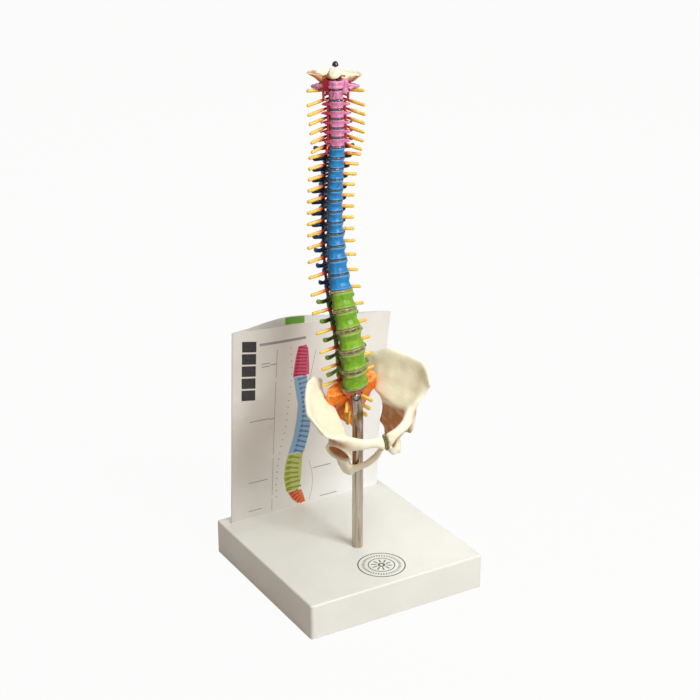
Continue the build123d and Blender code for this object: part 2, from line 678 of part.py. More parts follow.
def wing_rib(low, high, foot, travel):
    """Section of the wing: thick foot, thin dished middle, thick rolled crest."""
    low, high = Vector(*low), Vector(*high)
    up = (high - low).normalized()
    length = (high - low).length
    facing = (travel - up * travel.dot(up)).normalized()
    plane = Plane(origin=low, x_dir=up, z_dir=facing)
    dish = fossa_depth if plane.y_dir.X > 0 else -fossa_depth
    middle, crest = wing_thickness / 2, crest_thickness / 2
    points = [(-foot / 2, 0), (0, -foot / 2), (length * 0.34, dish - middle), (length * 0.72, dish - middle),
              (length - 2.2, -crest), (length, -crest * 0.5), (length, crest * 0.5), (length - 2.2, crest),
              (length * 0.72, dish + middle), (length * 0.34, dish + middle), (0, foot / 2)]
    return plane, points


def wing():
    """The wing of the ilium, from its front corner round to the joint with the sacrum."""
    sections = []
    for step, ((low, high), foot) in enumerate(zip(wing_ribs, rib_feet)):
        before = wing_ribs[max(step - 1, 0)]
        after = wing_ribs[min(step + 1, len(wing_ribs) - 1)]
        travel = (Vector(*after[0]) + Vector(*after[1]) - Vector(*before[0]) - Vector(*before[1])).normalized()
        sections.append(wing_rib(low, high, foot, travel))
    return faceted(sections)


def seat():
    """The body of the hip bone with its inner wall, spine and seat bone."""
    return faceted([(Plane.XY.offset(height), points) for height, points in seat_sections])


def hip_left():
    """The left hip bone, in the pelvis's frame."""
    facing = Vector(*socket_facing).normalized()
    middle = Vector(*socket_middle)
    block = limb([(middle - facing * 5.0, facing, 20.0, 22.0), (middle - facing * 1.0, facing, 25.0, 25.5),
                  (middle + facing * 1.5, facing, socket_rim, socket_rim),
                  (middle + facing * 3.0, facing, socket_rim - 2.5, socket_rim - 2.5)], sides=12)
    cup = limb([(middle + facing * 3.2, facing, socket_diameter, socket_diameter),
                (middle - facing * 2.6, facing, socket_diameter * 0.86, socket_diameter * 0.86),
                (middle - facing * (socket_depth - 3.0), facing, socket_diameter * 0.42,
                 socket_diameter * 0.42)], sides=12)
    upper_ramus = limb([((33.5, -31.0, -31.0), (-1, -0.8, 0), 11.0, 17.0),
                        ((28.0, -36.0, -33.0), (-1, -0.8, 0), 9.0, 15.0),
                        ((21.5, -40.5, -34.5), (-1, -0.4, 0), 7.5, 12.0),
                        ((12.0, -42.5, -36.5), (-1, -0.1, 0), 6.5, 10.0),
                        ((5.0, -41.8, -40.5), (-1, 0, 0), 6.5, 15.5),
                        ((pubis_x, pubis_y, pubis_z), (-1, 0, 0), pubis_depth, pubis_height)], sides=8)
    lower_ramus = limb([((25.8, -5.0, -76.0), (-1, -1.2, 0.7), 6.5, 8.5),
                        ((14.0, -20.0, -68.0), (-1, -1.3, 0.9), 5.5, 8.0),
                        ((7.0, -31.0, -57.5), (-0.7, -1, 1.1), 5.5, 8.0),
                        ((4.2, -38.0, -48.5), (-0.3, -1, 1.6), 5.5, 7.0)], sides=8)
    with BuildPart() as bone:
        add([wing(), seat(), block, upper_ramus, lower_ramus])
        add(cup, mode=Mode.SUBTRACT)
    return bone.part


left_hip = hip_left()
for name, shape in (("hip_bone_left", left_hip), ("hip_bone_right", left_hip.mirror(Plane.YZ))):
    with BuildPart() as hip:
        add(shape.moved(pelvis_place))
        add(sacrum_bone, mode=Mode.SUBTRACT)
    finish(hip.part, name)

# Symphysis: the pad between the two pubic bones
with BuildPart() as symphysis:
    add(limb([((pubis_x, pubis_y, pubis_z), (-1, 0, 0), pubis_depth, pubis_height),
              ((-pubis_x, pubis_y, pubis_z), (-1, 0, 0), pubis_depth, pubis_height)], sides=8))
finish(symphysis.part, "symphysis_disc", pelvis_place)

# Core wire with its end cap
cap_base = 10.1
cap_height = 4.4
core_anchor = 4.5


def world(plane, x, y, z):
    """A point given in a frame, in the model's frame."""
    return plane.origin + plane.x_dir * x + plane.y_dir * y + plane.z_dir * z


def core_stations():
    """The wire runs straight through each body, from the middle of one disc to the middle of the next."""
    first = sacrum_frame.origin - sacrum_frame.z_dir * core_anchor
    stations = [(first, sacrum_frame.z_dir)]
    lower = sacrum_frame.origin
    for level in [*reversed(levels), "C2"]:
        frame, tall = body_frames[level], body_heights[level]
        foot = world(frame, 0, 0, -tall / 2)
        stations.append(((lower + foot) / 2, frame.z_dir))
        lower = world(frame, 0, 0, tall / 2)
    stations.append((world(body_frames["C2"], 0, 0, body_heights["C2"] / 2 + 1), body_frames["C2"].z_dir))
    stations.append((skull_frame.origin, skull_frame.z_dir))
    stations.append((world(Plane(skull_place), 0, 0, cap_base + 1), Plane(skull_place).z_dir))
    return [(centre, facing, core_diameter, core_diameter) for centre, facing in stations]


with BuildPart() as core:
    add(limb(core_stations(), sides=8))
    add(limb([(world(Plane(skull_place), 0, 0, cap_base + share * cap_height), Plane(skull_place).z_dir,
               cap_diameter * swell, cap_diameter * swell)
              for share, swell in ((0, 1.0), (0.35, 1.0), (0.7, 0.78), (0.92, 0.42), (1.0, 0.14))], sides=12))
finish(core.part, "core_wire")

# Cord with its nerve stubs: one moulded piece that lies in the canal
nerve_gap = 0.45
nerve_drops = {"C": 5.5, "T": 2.4, "L": 1.2}


def canal_middle(level):
    size = stack_sizes[level]
    return world(body_frames[level], 0, body_back(size) + size["canal"] / 2, 0)


def nerve_pair(level):
    """The two stubs that leave under a vertebra's pedicles."""
    size, tall, frame = stack_sizes[level], body_heights[level], body_frames[level]
    root_x = size["canal"] / 2 + size["pedicle"] / 2
    out_y = body_back(size) + nerve_diameter / 2 + nerve_gap
    at = -0.29 * tall - size["disc"] / 2
    drop = nerve_drops[level[0]]
    stubs = []
    for side in (-1, 1):
        path = [((0, body_back(size) + size["canal"] / 2, at), (side, -0.2, 0)),
                ((side * root_x, out_y, at), (side, -0.1, 0)),
                ((side * (size["nerve_reach"] - 0.6), size["nerve_back"], at - drop), (side, 0, 0)),
                ((side * size["nerve_reach"], size["nerve_back"], at - drop), (side, 0, 0))]
        widths = [1.0, 1.0, 1.0, 0.6]
        stubs.append(limb([(centre, facing, nerve_diameter * share, nerve_diameter * share)
                           for (centre, facing), share in zip(path, widths)], sides=nerve_sides)
                     .moved(Location(frame)))
    return stubs


def cord_stations():
    stations = []
    for back, up in reversed(sacral_canal):
        stations.append((pelvis_place * Location((0, back, up))).position)
    for level in [*reversed(levels), "C2"]:
        stations.append(canal_middle(level))
    stations.append(world(body_frames["C1"], 0, ring_inner_y + 3.6, 0))
    stations.append(world(skull_frame, 0, skull_hole_y, 3.0))
    return stations


def cord():
    points = cord_stations()
    run = []
    for step, point in enumerate(points):
        ahead = points[min(step + 1, len(points) - 1)] - points[max(step - 1, 0)]
        share = min(1.0, 0.42 + 0.145 * step)
        run.append((point, ahead, cord_diameter * share, cord_diameter * share))
    exits = [sacral_exit(step, exit_stub, exit_reach[step], side).moved(pelvis_place)
             for step in (1, 2, 3) for side in (1, -1)]
    top_pair = []
    frame, tall = body_frames["C2"], body_heights["C2"]
    at = tall / 2 + 0.45
    for side in (-1, 1):
        path = [((0, 6.9, at), (side, 0, 0)), ((side * 8.0, 6.4, at), (side, -0.1, 0)),
                ((side * 23.4, 2.0, at - 0.6), (side, 0, 0)), ((side * 24.0, 2.0, at - 0.6), (side, 0, 0))]
        top_pair.append(limb([(centre, facing, nerve_diameter * share, nerve_diameter * share)
                              for (centre, facing), share in zip(path, (1.0, 1.0, 1.0, 0.6))],
                             sides=nerve_sides).moved(Location(frame)))
    with BuildPart() as nerves:
        add([limb(run, sides=8), *exits, *top_pair,
             *[stub for level in ["C2", *levels] for stub in nerve_pair(level)]])
    return nerves.part


finish(cord(), "spinal_nerves")

# Vertebral arteries: up through the holes of the cervical transverse processes
artery_levels = ["C7", "C6", "C5", "C4", "C3"]
axis_artery_x = 10.3


def artery(side, tail):
    stations = []
    if tail:
        stations += [(world(body_frames["T1"], side * 9.4, -1.4, -1.0), (0, 0, 1)),
                     (world(body_frames["T1"], side * 9.2, -1.2, 3.0), (0, 0, 1))]
    for level in artery_levels:
        size, frame, tall = sizes[level], body_frames[level], body_heights[level]
        for share in (-0.3, 0.42):
            stations.append((world(frame, side * artery_place(size), artery_y, share * tall), (0, 0, 1)))
    for share in (-0.3, 0.3):
        stations.append((world(body_frames["C2"], side * axis_artery_x, 0, share * axis_rise), (0, 0, 1)))
    for at in (-2.6, atlas_rise / 2 - 1.6):
        stations.append((world(body_frames["C1"], side * atlas_hole_x, 1.4, at), (0, 0, 1)))
    return limb([(centre, facing, artery_diameter, artery_diameter) for centre, facing in stations])


finish(artery(1, False), "vertebral_artery_left")
finish(artery(-1, True), "vertebral_artery_right")

# Base: a moulded tray, open below, with a socket for the tube and a slot for the card
slot_width = 2 * card_thickness + leaf_gap + card_slot_gap
slot_length = card_width + 4.0
slot_middle_x = card_left + card_width / 2
with BuildPart() as base:
    Box(base_width, base_depth, base_height, align=(Align.CENTER, Align.CENTER, Align.MIN))
    fillet(base.edges().filter_by(Axis.Z), base_corner_radius)
    fillet(base.faces().sort_by(Axis.Z)[-1].edges(), base_edge_radius)
    with BuildSketch(Plane.XY):
        RectangleRounded(base_width - 2 * base_wall, base_depth - 2 * base_wall, base_corner_radius / 2)
        with Locations((tube_x, tube_y)):
            RegularPolygon(tube_diameter / 2 + socket_wall, 16, mode=Mode.SUBTRACT)
    extrude(amount=base_height - base_wall, mode=Mode.SUBTRACT)
    with BuildSketch(Plane.XY.offset(base_height)):
        with Locations((slot_middle_x, card_slot_y)):
            Rectangle(slot_length + 2 * base_wall, slot_width + 2 * base_wall)
    extrude(amount=-(card_slot_depth + base_wall))
    with BuildSketch(Plane.XY.offset(base_height)):
        with Locations((slot_middle_x, card_slot_y)):
            Rectangle(slot_length, slot_width)
    extrude(amount=-card_slot_depth, mode=Mode.SUBTRACT)
    with BuildSketch(Plane.XY.offset(base_height)):
        with Locations((tube_x, tube_y)):
            Circle(tube_diameter / 2 + fit_gap)
    extrude(amount=-(base_height - socket_floor), mode=Mode.SUBTRACT)
finish(base.part, "base")

# Support tube: its front wall is pressed back at the top, which leaves a slanting scoop
scoop_low = tube_top - scoop_length
scoop_lean = math.degrees(math.atan2(tube_diameter - 2 * tube_wall, scoop_length))
tube_middle = Location((tube_x, tube_y, 0))


def pressed_rod(diameter, low, high, back_off):
    """A round bar whose front is cut away by the slanting plane of the press."""
    with BuildPart() as bar:
        with BuildSketch(Plane.XY.offset(low)):
            Circle(diameter / 2)
        extrude(amount=high - low)
        front = Plane(origin=(0, -tube_diameter / 2 + back_off, scoop_low),
                      x_dir=(1, 0, 0), z_dir=(0, -math.cos(math.radians(scoop_lean)),
                                              math.sin(math.radians(scoop_lean))))
        split(bisect_by=front, keep=Keep.BOTTOM)
    return bar.part


with BuildPart() as tube:
    add(pressed_rod(tube_diameter, socket_floor, tube_top, 0).moved(tube_middle))
    add(pressed_rod(tube_diameter - 2 * tube_wall, socket_floor - 1, tube_top - tube_wall * 2,
                    tube_wall * 1.1).moved(tube_middle), mode=Mode.SUBTRACT)
    with BuildSketch(Plane.XZ.offset(-tube_y)):
        with Locations((tube_x, screw_height)):
            Circle(screw_shank / 2 + fit_gap)
    extrude(amount=tube_diameter, both=True, mode=Mode.SUBTRACT)
    # spot face for the screw's head
    with BuildSketch(Plane.XZ.offset(-(seat_y - tube_wall * 2))):
        with Locations((tube_x, screw_height)):
            Circle(screw_head / 2 + 0.5)
    extrude(amount=tube_diameter, mode=Mode.SUBTRACT)
finish(tube.part, "support_tube")

# Screw: round head against the tube, shank into the sacrum
with BuildPart() as screw:
    with BuildSketch(Plane.XZ.offset(-(seat_y - tube_wall * 2))):
        with Locations((tube_x, screw_height)):
            Circle(screw_head / 2)
    extrude(amount=screw_head_height * 0.4)
    with BuildSketch(Plane.XZ.offset(-(seat_y - tube_wall * 2) + screw_head_height * 0.4)):
        with Locations((tube_x, screw_height)):
            Circle(screw_head / 2)
    extrude(amount=screw_head_height * 0.6, taper=35)
    with BuildSketch(Plane.XZ.offset(-(seat_y - tube_wall * 2))):
        with Locations((tube_x, screw_height)):
            Circle(screw_shank / 2)
    extrude(amount=-screw_length)
finish(screw.part, "tube_screw")

# Chart card: both leaves and the fold between them, straight in the slot and curling above it


def card_line(height):
    """Rear leaf's middle at a height, leaning forward and curling at the right, and the front's bow."""
    rise = max(0.0, (height - base_height) / (card_top - base_height))
    bend = rise ** 1.5
    points = []
    for step in range(card_columns + 1):
        share = step / card_columns
        curl = card_curl * max(0.0, (share - 0.45) / 0.55) ** 2
        points.append((share, card_slot_y - card_lean * rise - curl * bend,
                       card_bow * math.sin(math.pi * share) * bend))
    return points


def card_outline(height):
    """Closed outline of the folded sheet at a height, from the front leaf round the fold to the rear."""
    rise = max(0.0, (height - base_height) / (card_top - base_height))
    width = card_width - 8.0 * rise
    half = card_thickness / 2
    near = leaf_gap / 2 + half
    line = [(card_left + share * width, y, bow) for share, y, bow in card_line(height)]
    front_outer = [(x, y - bow - near - half) for x, y, bow in line]
    front_inner = [(x, y - bow - near + half) for x, y, bow in line]
    rear_outer = [(x, y + near + half) for x, y, bow in line]
    rear_inner = [(x, y + near - half) for x, y, bow in line]
    inside_x = card_left + card_thickness
    front_inner[0] = (inside_x, front_inner[0][1])
    rear_inner[0] = (inside_x, rear_inner[0][1])
    return front_outer[::-1] + rear_outer + rear_inner[::-1] + front_inner


with BuildPart() as card:
    add(faceted([(Plane.XY.offset(height), card_outline(height))
                 for height in (base_height - card_slot_depth, base_height, *card_rows, card_top)]))
finish(card.part, "chart_card")
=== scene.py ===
import math

import bmesh
import bpy
import numpy as np
from mathutils import Matrix, Vector, noise


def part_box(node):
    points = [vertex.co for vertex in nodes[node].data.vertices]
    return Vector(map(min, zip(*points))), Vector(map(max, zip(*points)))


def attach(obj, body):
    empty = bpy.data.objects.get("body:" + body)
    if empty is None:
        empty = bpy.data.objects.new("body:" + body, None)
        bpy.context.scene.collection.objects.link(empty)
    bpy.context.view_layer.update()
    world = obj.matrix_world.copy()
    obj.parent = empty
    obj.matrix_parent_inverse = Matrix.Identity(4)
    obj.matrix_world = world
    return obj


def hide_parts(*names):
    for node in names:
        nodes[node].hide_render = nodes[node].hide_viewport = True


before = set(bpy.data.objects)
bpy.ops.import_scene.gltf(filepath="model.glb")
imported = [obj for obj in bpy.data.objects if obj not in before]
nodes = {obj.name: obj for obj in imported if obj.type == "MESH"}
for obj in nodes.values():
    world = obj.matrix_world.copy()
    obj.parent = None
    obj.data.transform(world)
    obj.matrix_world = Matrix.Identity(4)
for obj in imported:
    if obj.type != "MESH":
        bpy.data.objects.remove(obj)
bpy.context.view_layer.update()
scene = bpy.context.scene

# Base: a square tray moulded in off-white plastic, open below, with a satin skin that picks up
# faint grey scuffs. Thin rings of plain marks are printed in front of the tube.
mm = 0.001


def principled(name, roughness, metallic=0.0, coat=0.0):
    """A material with one Principled shader, whose plain values are set on its own sockets."""
    material = bpy.data.materials.new(name)
    material.use_nodes = True
    shader = material.node_tree.nodes["Principled BSDF"]
    shader.inputs["Roughness"].default_value = roughness
    shader.inputs["Metallic"].default_value = metallic
    shader.inputs["Coat Weight"].default_value = coat
    shader.inputs["Coat Roughness"].default_value = 0.12
    shader.inputs["Specular IOR Level"].default_value = 0.35
    return material, material.node_tree, shader


def speckle(tree, size, detail=3.0, roughness=0.55):
    """Noise on the piece's own coordinates, with features of about this size in metres."""
    coordinates = tree.nodes.new("ShaderNodeTexCoord")
    pattern = tree.nodes.new("ShaderNodeTexNoise")
    pattern.inputs["Scale"].default_value = 1.0 / size
    pattern.inputs["Detail"].default_value = detail
    pattern.inputs["Roughness"].default_value = roughness
    tree.links.new(coordinates.outputs["Object"], pattern.inputs["Vector"])
    return pattern.outputs["Fac"]


def ramp(tree, value, stops):
    """A colour ramp through (place, colour) stops."""
    node = tree.nodes.new("ShaderNodeValToRGB")
    bands = node.color_ramp.elements
    bands[0].position, bands[0].color = stops[0][0], (*stops[0][1], 1)
    bands[1].position, bands[1].color = stops[-1][0], (*stops[-1][1], 1)
    for place, colour in stops[1:-1]:
        bands.new(place).color = (*colour, 1)
    tree.links.new(value, node.inputs["Fac"])
    return node.outputs["Color"]


def blend(tree, amount, under, over):
    """One colour laid over another by an amount."""
    node = tree.nodes.new("ShaderNodeMix")
    node.data_type = "RGBA"
    tree.links.new(amount, node.inputs["Factor"])
    for socket, colour in ((node.inputs[6], under), (node.inputs[7], over)):
        if isinstance(colour, tuple):
            socket.default_value = (*colour, 1)
        else:
            tree.links.new(colour, socket)
    return node.outputs[2]


def relief(tree, shader, layers):
    """Bump from (pattern, height in metres) layers, one over another."""
    last = None
    for pattern, height in layers:
        bump = tree.nodes.new("ShaderNodeBump")
        bump.inputs["Distance"].default_value = height
        tree.links.new(pattern, bump.inputs["Height"])
        if last:
            tree.links.new(last, bump.inputs["Normal"])
        last = bump.outputs["Normal"]
    tree.links.new(last, shader.inputs["Normal"])


def dull(tree, shader, pattern, low, high):
    """Roughness that wanders between two values."""
    node = tree.nodes.new("ShaderNodeMapRange")
    node.inputs["From Min"].default_value = 0.3
    node.inputs["From Max"].default_value = 0.7
    node.inputs["To Min"].default_value = low
    node.inputs["To Max"].default_value = high
    tree.links.new(pattern, node.inputs["Value"])
    tree.links.new(node.outputs["Result"], shader.inputs["Roughness"])


base_plastic, tree, shader = principled("off_white_plastic", 0.4)
tone = ramp(tree, speckle(tree, 0.06), [(0.3, (0.76, 0.77, 0.72)), (0.55, (0.80, 0.81, 0.765)),
                                        (0.75, (0.82, 0.83, 0.79))])
scuffs = ramp(tree, speckle(tree, 0.009, 6, 0.7), [(0.66, (0, 0, 0)), (0.74, (1, 1, 1))])
tree.links.new(blend(tree, scuffs, tone, (0.70, 0.70, 0.655)), shader.inputs["Base Color"])
dull(tree, shader, speckle(tree, 0.02, 4), 0.32, 0.5)
relief(tree, shader, [(speckle(tree, 0.0009, 2), 0.00004), (speckle(tree, 0.03, 2), 0.0003)])
nodes["base"].data.materials[0] = base_plastic
base_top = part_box("base")[1].z


def sheet_print(name, colour):
    """Flat printing ink with a little wear."""
    material, tree, shader = principled(name, 0.45)
    worn = tuple(0.85 * part + 0.05 for part in colour)
    tree.links.new(ramp(tree, speckle(tree, 0.002, 5, 0.7), [(0.35, colour), (0.9, worn)]),
                   shader.inputs["Base Color"])
    relief(tree, shader, [(speckle(tree, 0.0006, 2), 0.00001)])
    return material


def along_row(name, inputs):
    """Geometry nodes: a small shape repeated along a curve, turned to follow it, in one material."""
    group = bpy.data.node_groups.new(name, "GeometryNodeTree")
    identifiers = {}
    group.interface.new_socket("Geometry", in_out="INPUT", socket_type="NodeSocketGeometry")
    for label, kind in inputs:
        item = group.interface.new_socket(label, in_out="INPUT", socket_type=kind)
        identifiers[label] = item.identifier
    group.interface.new_socket("Geometry", in_out="OUTPUT", socket_type="NodeSocketGeometry")
    make, link = group.nodes.new, group.links.new
    given, result = make("NodeGroupInput"), make("NodeGroupOutput")
    points = make("GeometryNodeCurveToPoints")
    points.mode = "COUNT"
    link(given.outputs["Count"], points.inputs["Count"])
    shape = make("GeometryNodeObjectInfo")
    link(given.outputs["Shape"], shape.inputs["Object"])
    along = make("GeometryNodeSplineParameter")
    hold = make("GeometryNodeCaptureAttribute")
    hold.capture_items.new("FLOAT", "along")
    link(given.outputs["Geometry"], hold.inputs["Geometry"])
    link(along.outputs["Factor"], hold.inputs["along"])
    link(hold.outputs["Geometry"], points.inputs["Curve"])
    grade = make("ShaderNodeMapRange")
    link(hold.outputs["along"], grade.inputs["Value"])
    link(given.outputs["First"], grade.inputs["To Min"])
    link(given.outputs["Last"], grade.inputs["To Max"])
    place = make("GeometryNodeInstanceOnPoints")
    link(points.outputs["Points"], place.inputs["Points"])
    link(shape.outputs["Geometry"], place.inputs["Instance"])
    turn = make("FunctionNodeAlignRotationToVector")
    turn.axis, turn.pivot_axis = "X", "Z"
    link(points.outputs["Tangent"], turn.inputs["Vector"])
    link(turn.outputs["Rotation"], place.inputs["Rotation"])
    link(grade.outputs["Result"], place.inputs["Scale"])
    real = make("GeometryNodeRealizeInstances")
    link(place.outputs["Instances"], real.inputs["Geometry"])
    paint = make("GeometryNodeSetMaterial")
    link(real.outputs["Geometry"], paint.inputs["Geometry"])
    link(given.outputs["Ink"], paint.inputs["Material"])
    link(paint.outputs["Geometry"], result.inputs["Geometry"])
    return group, identifiers


row_inputs = [("Count", "NodeSocketInt"), ("Shape", "NodeSocketObject"), ("First", "NodeSocketFloat"),
              ("Last", "NodeSocketFloat"), ("Ink", "NodeSocketMaterial")]
row_tree, row_ids = along_row("shapes_along_a_row", row_inputs)


def flat_shape(name, outline):
    """A flat face in the XY plane, to be repeated along a row."""
    mesh = bpy.data.meshes.new(name)
    mesh.from_pydata([(x * mm, y * mm, 0) for x, y in outline], [], [range(len(outline))])
    piece = bpy.data.objects.new(name, mesh)
    scene.collection.objects.link(piece)
    piece.hide_render = True
    return piece


def flat_bar(name, half_width, half_length):
    """A flat oblong, to be repeated along a row."""
    return flat_shape(name, [(-half_width, -half_length), (half_width, -half_length),
                             (half_width, half_length), (-half_width, half_length)])


def curve_through(name, points, cyclic=False):
    """A smooth flat curve through points in millimetres."""
    line = bpy.data.curves.new(name, "CURVE")
    line.dimensions = "3D"
    spline = line.splines.new("BEZIER")
    spline.bezier_points.add(len(points) - 1)
    for point, (x, y) in zip(spline.bezier_points, points):
        point.co = (x * mm, y * mm, 0)
        point.handle_left_type = point.handle_right_type = "AUTO"
    spline.use_cyclic_u = cyclic
    spline.resolution_u = 24
    piece = bpy.data.objects.new(name, line)
    scene.collection.objects.link(piece)
    return piece


def row_of(shape, line, count, first, last, ink):
    """The plain mesh of a shape repeated along a line."""
    modifier = line.modifiers.new("row", "NODES")
    modifier.node_group = row_tree
    values = {"Count": count, "Shape": shape, "First": first, "Last": last, "Ink": ink}
    for label, value in values.items():
        modifier[row_ids[label]] = value
    graph = bpy.context.evaluated_depsgraph_get()
    mesh = bpy.data.meshes.new_from_object(line.evaluated_get(graph))
    line.modifiers.remove(modifier)
    bpy.data.objects.remove(line)
    return mesh


def piece_from(name, mesh, node=None, cover=None, shade=True):
    """Adds a finished mesh to the part, on its one body, in place of a CAD node where one is named."""
    if cover:
        mesh.materials.append(cover)
    piece = bpy.data.objects.new(name, mesh)
    scene.collection.objects.link(piece)
    if shade:
        mesh.shade_smooth()
    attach(piece, "root")
    if node:
        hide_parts(node)


def printed(meshes, thickness, place, name):
    """Joins flat meshes, gives them the thickness of a print and lays them where they belong."""
    sheet = bmesh.new()
    inks = []
    for mesh in meshes:
        before = len(sheet.faces)
        sheet.from_mesh(mesh)
        sheet.faces.ensure_lookup_table()
        for face in sheet.faces[before:]:
            ink = mesh.materials[face.material_index]
            if ink not in inks:
                inks.append(ink)
            face.material_index = inks.index(ink)
    bmesh.ops.remove_doubles(sheet, verts=sheet.verts, dist=1e-7)
    for face in sheet.faces:
        if face.normal.z < 0:
            face.normal_flip()
    grown = bmesh.ops.extrude_face_region(sheet, geom=list(sheet.faces), use_keep_orig=True)
    for vertex in (item for item in grown["geom"] if isinstance(item, bmesh.types.BMVert)):
        vertex.co.z += thickness
    for vertex in sheet.verts:
        vertex.co = place(vertex.co)
    bmesh.ops.recalc_face_normals(sheet, faces=sheet.faces)
    mesh = bpy.data.meshes.new(name)
    sheet.to_mesh(mesh)
    sheet.free()
    for ink in inks:
        mesh.materials.append(ink)
    piece_from(name, mesh, shade=False)


def ring_mesh(inner, outer, ink, steps=96):
    """A flat ring, in millimetres."""
    mesh = bpy.data.meshes.new("ring")
    turns = [2 * math.pi * step / steps for step in range(steps)]
    corners = [(r * mm * math.cos(a), r * mm * math.sin(a), 0) for r in (inner, outer) for a in turns]
    nexts = [(step + 1) % steps for step in range(steps)]
    faces = [(step, after, steps + after, steps + step) for step, after in enumerate(nexts)]
    mesh.from_pydata(corners, [], faces)
    mesh.materials.append(ink)
    return mesh


mark_ink = sheet_print("dark_green_print", (0.03, 0.07, 0.045))
mark_x, mark_y, mark_thickness, sunk = 0.7 * mm, -61.4 * mm, 0.06 * mm, 0.02 * mm
mark_rings = ((20.9, 22.0), (11.6, 12.5), (1.6, 3.4))
marks = [ring_mesh(inner, outer, mark_ink) for inner, outer in mark_rings]
eighths = [math.radians(45 * step) for step in range(8)]
for name, radius, count, half_width, half_length in (("tick", 16.6, 44, 0.45, 1.3),
                                                     ("spoke", 6.972, 10, 0.6, 2.4)):
    corners = [(radius * math.cos(a), radius * math.sin(a)) for a in eighths]
    circle = curve_through(f"{name}_circle", corners, True)
    marks.append(row_of(flat_bar(name, half_width, half_length), circle, count, 1.0, 1.0, mark_ink))
printed(marks, mark_thickness, lambda co: Vector((co.x + mark_x, co.y + mark_y, base_top + co.z - sunk)),
        "base_printed_ring")

# Chart card: one printed sheet of white board, folded at its left edge so that two leaves stand in
# the slot at the back of the base. Its upper right corner has curled forwards.
card_left, card_width, card_top, card_foot, card_board = -80.0, 163.0, 231.0, 21.0, 0.6
base_height, slot_y, leaf_gap = 33.0, 81.7, 0.5
leaf_lean, leaf_curl, leaf_bow, top_narrowing, curl_from = 14.0, 22.0, 9.0, 8.0, 0.45
rear_swell, swell_foot, swell_reach = 5.0, 200.0, 0.7


def leaf_point(share, height, front, out=0.0):
    """A point on the middle of a leaf, in millimetres; out is towards that leaf's outer face."""
    rise = max(0.0, (height - base_height) / (card_top - base_height))
    bend = rise ** 1.5
    y = slot_y - leaf_lean * rise
    y -= leaf_curl * max(0.0, (share - curl_from) / (1 - curl_from)) ** 2 * bend
    x = card_left + share * (card_width - top_narrowing * rise)
    half = (leaf_gap + card_board) / 2 + out
    if front:
        return x, y - leaf_bow * math.sin(math.pi * share) * bend - half, height
    return x, y + half, height


def swelling(share, height):
    """How far the rear leaf's upper edge swells up beyond the front one's, in millimetres."""
    up = max(0.0, (height - swell_foot) / (card_top - swell_foot)) ** 2
    return rear_swell * up * math.sin(math.pi * min(1.0, share / swell_reach)) ** 2


card_white, tree, shader = principled("satin_white_board", 0.38, coat=0.1)
place = tree.nodes.new("ShaderNodeTexCoord")
across = tree.nodes.new("ShaderNodeSeparateXYZ")
tree.links.new(place.outputs["Object"], across.inputs[0])
# Painted shade on the board's left, giving way to painted light towards its right; the scuffs lie over
# both.
painted_light_across = tree.nodes.new("ShaderNodeMapRange")
painted_light_across.inputs["From Min"].default_value = -0.06
painted_light_across.inputs["From Max"].default_value = 0.06
tree.links.new(across.outputs["X"], painted_light_across.inputs["Value"])
shaded_left_tone = ramp(tree, speckle(tree, 0.05), [(0.3, (0.68, 0.655, 0.615)), (0.7, (0.75, 0.73, 0.69))])
tone = blend(tree, painted_light_across.outputs["Result"], shaded_left_tone, (0.89, 0.885, 0.87))
scuffs = ramp(tree, speckle(tree, 0.004, 6, 0.75), [(0.68, (0, 0, 0)), (0.78, (1, 1, 1))])
tree.links.new(blend(tree, scuffs, tone, (0.66, 0.65, 0.63)), shader.inputs["Base Color"])
dull(tree, shader, speckle(tree, 0.015), 0.26, 0.42)
relief(tree, shader, [(speckle(tree, 0.0005, 2), 0.00001), (speckle(tree, 0.04, 1), 0.0004)])

card_columns, card_rows, fold_steps = 56, 44, 6
half_board, fold_radius = card_board / 2, leaf_gap / 2 + card_board
fold_x = card_left + fold_radius
shares = [step / card_columns for step in range(1, card_columns + 1)]
turns = [math.pi * (step + 0.5) / fold_steps for step in range(fold_steps)]


def card_line(height, face, radius):
    """One face of the folded card at one height, from the front leaf's free edge to the rear one's."""
    centre = leaf_point(0, height, False)[1] - (leaf_gap + card_board) / 2
    line = [leaf_point(share, height, True, face) for share in reversed(shares)]
    line += [(fold_x - radius * math.sin(a), centre - radius * math.cos(a), height) for a in turns]
    for share in shares:
        x, y, z = leaf_point(share, height, False, face)
        line.append((x, y, z + swelling(share, height)))
    return line


card = bmesh.new()
outlines = []
for row in range(card_rows + 1):
    height = card_foot + (card_top - card_foot) * row / card_rows
    lines = card_line(height, half_board, fold_radius), card_line(height, -half_board, leaf_gap / 2)
    outlines.append([[card.verts.new([part * mm for part in co]) for co in line] for line in lines])
for below, above in zip(outlines, outlines[1:]):
    for low, high in zip(below, above):
        for step in range(len(low) - 1):
            card.faces.new((low[step], low[step + 1], high[step + 1], high[step]))
    for end in (0, -1):
        card.faces.new((below[0][end], above[0][end], above[1][end], below[1][end]))
for outer, inner in (outlines[0], outlines[-1]):
    for step in range(len(outer) - 1):
        card.faces.new((outer[step], outer[step + 1], inner[step + 1], inner[step]))
bmesh.ops.recalc_face_normals(card, faces=card.faces)
card_mesh = bpy.data.meshes.new("chart_card_leaves")
card.to_mesh(card_mesh)
card.free()
piece_from("chart_card_leaves", card_mesh, "chart_card", card_white)
card_mesh.set_sharp_from_angle(angle=math.radians(40))

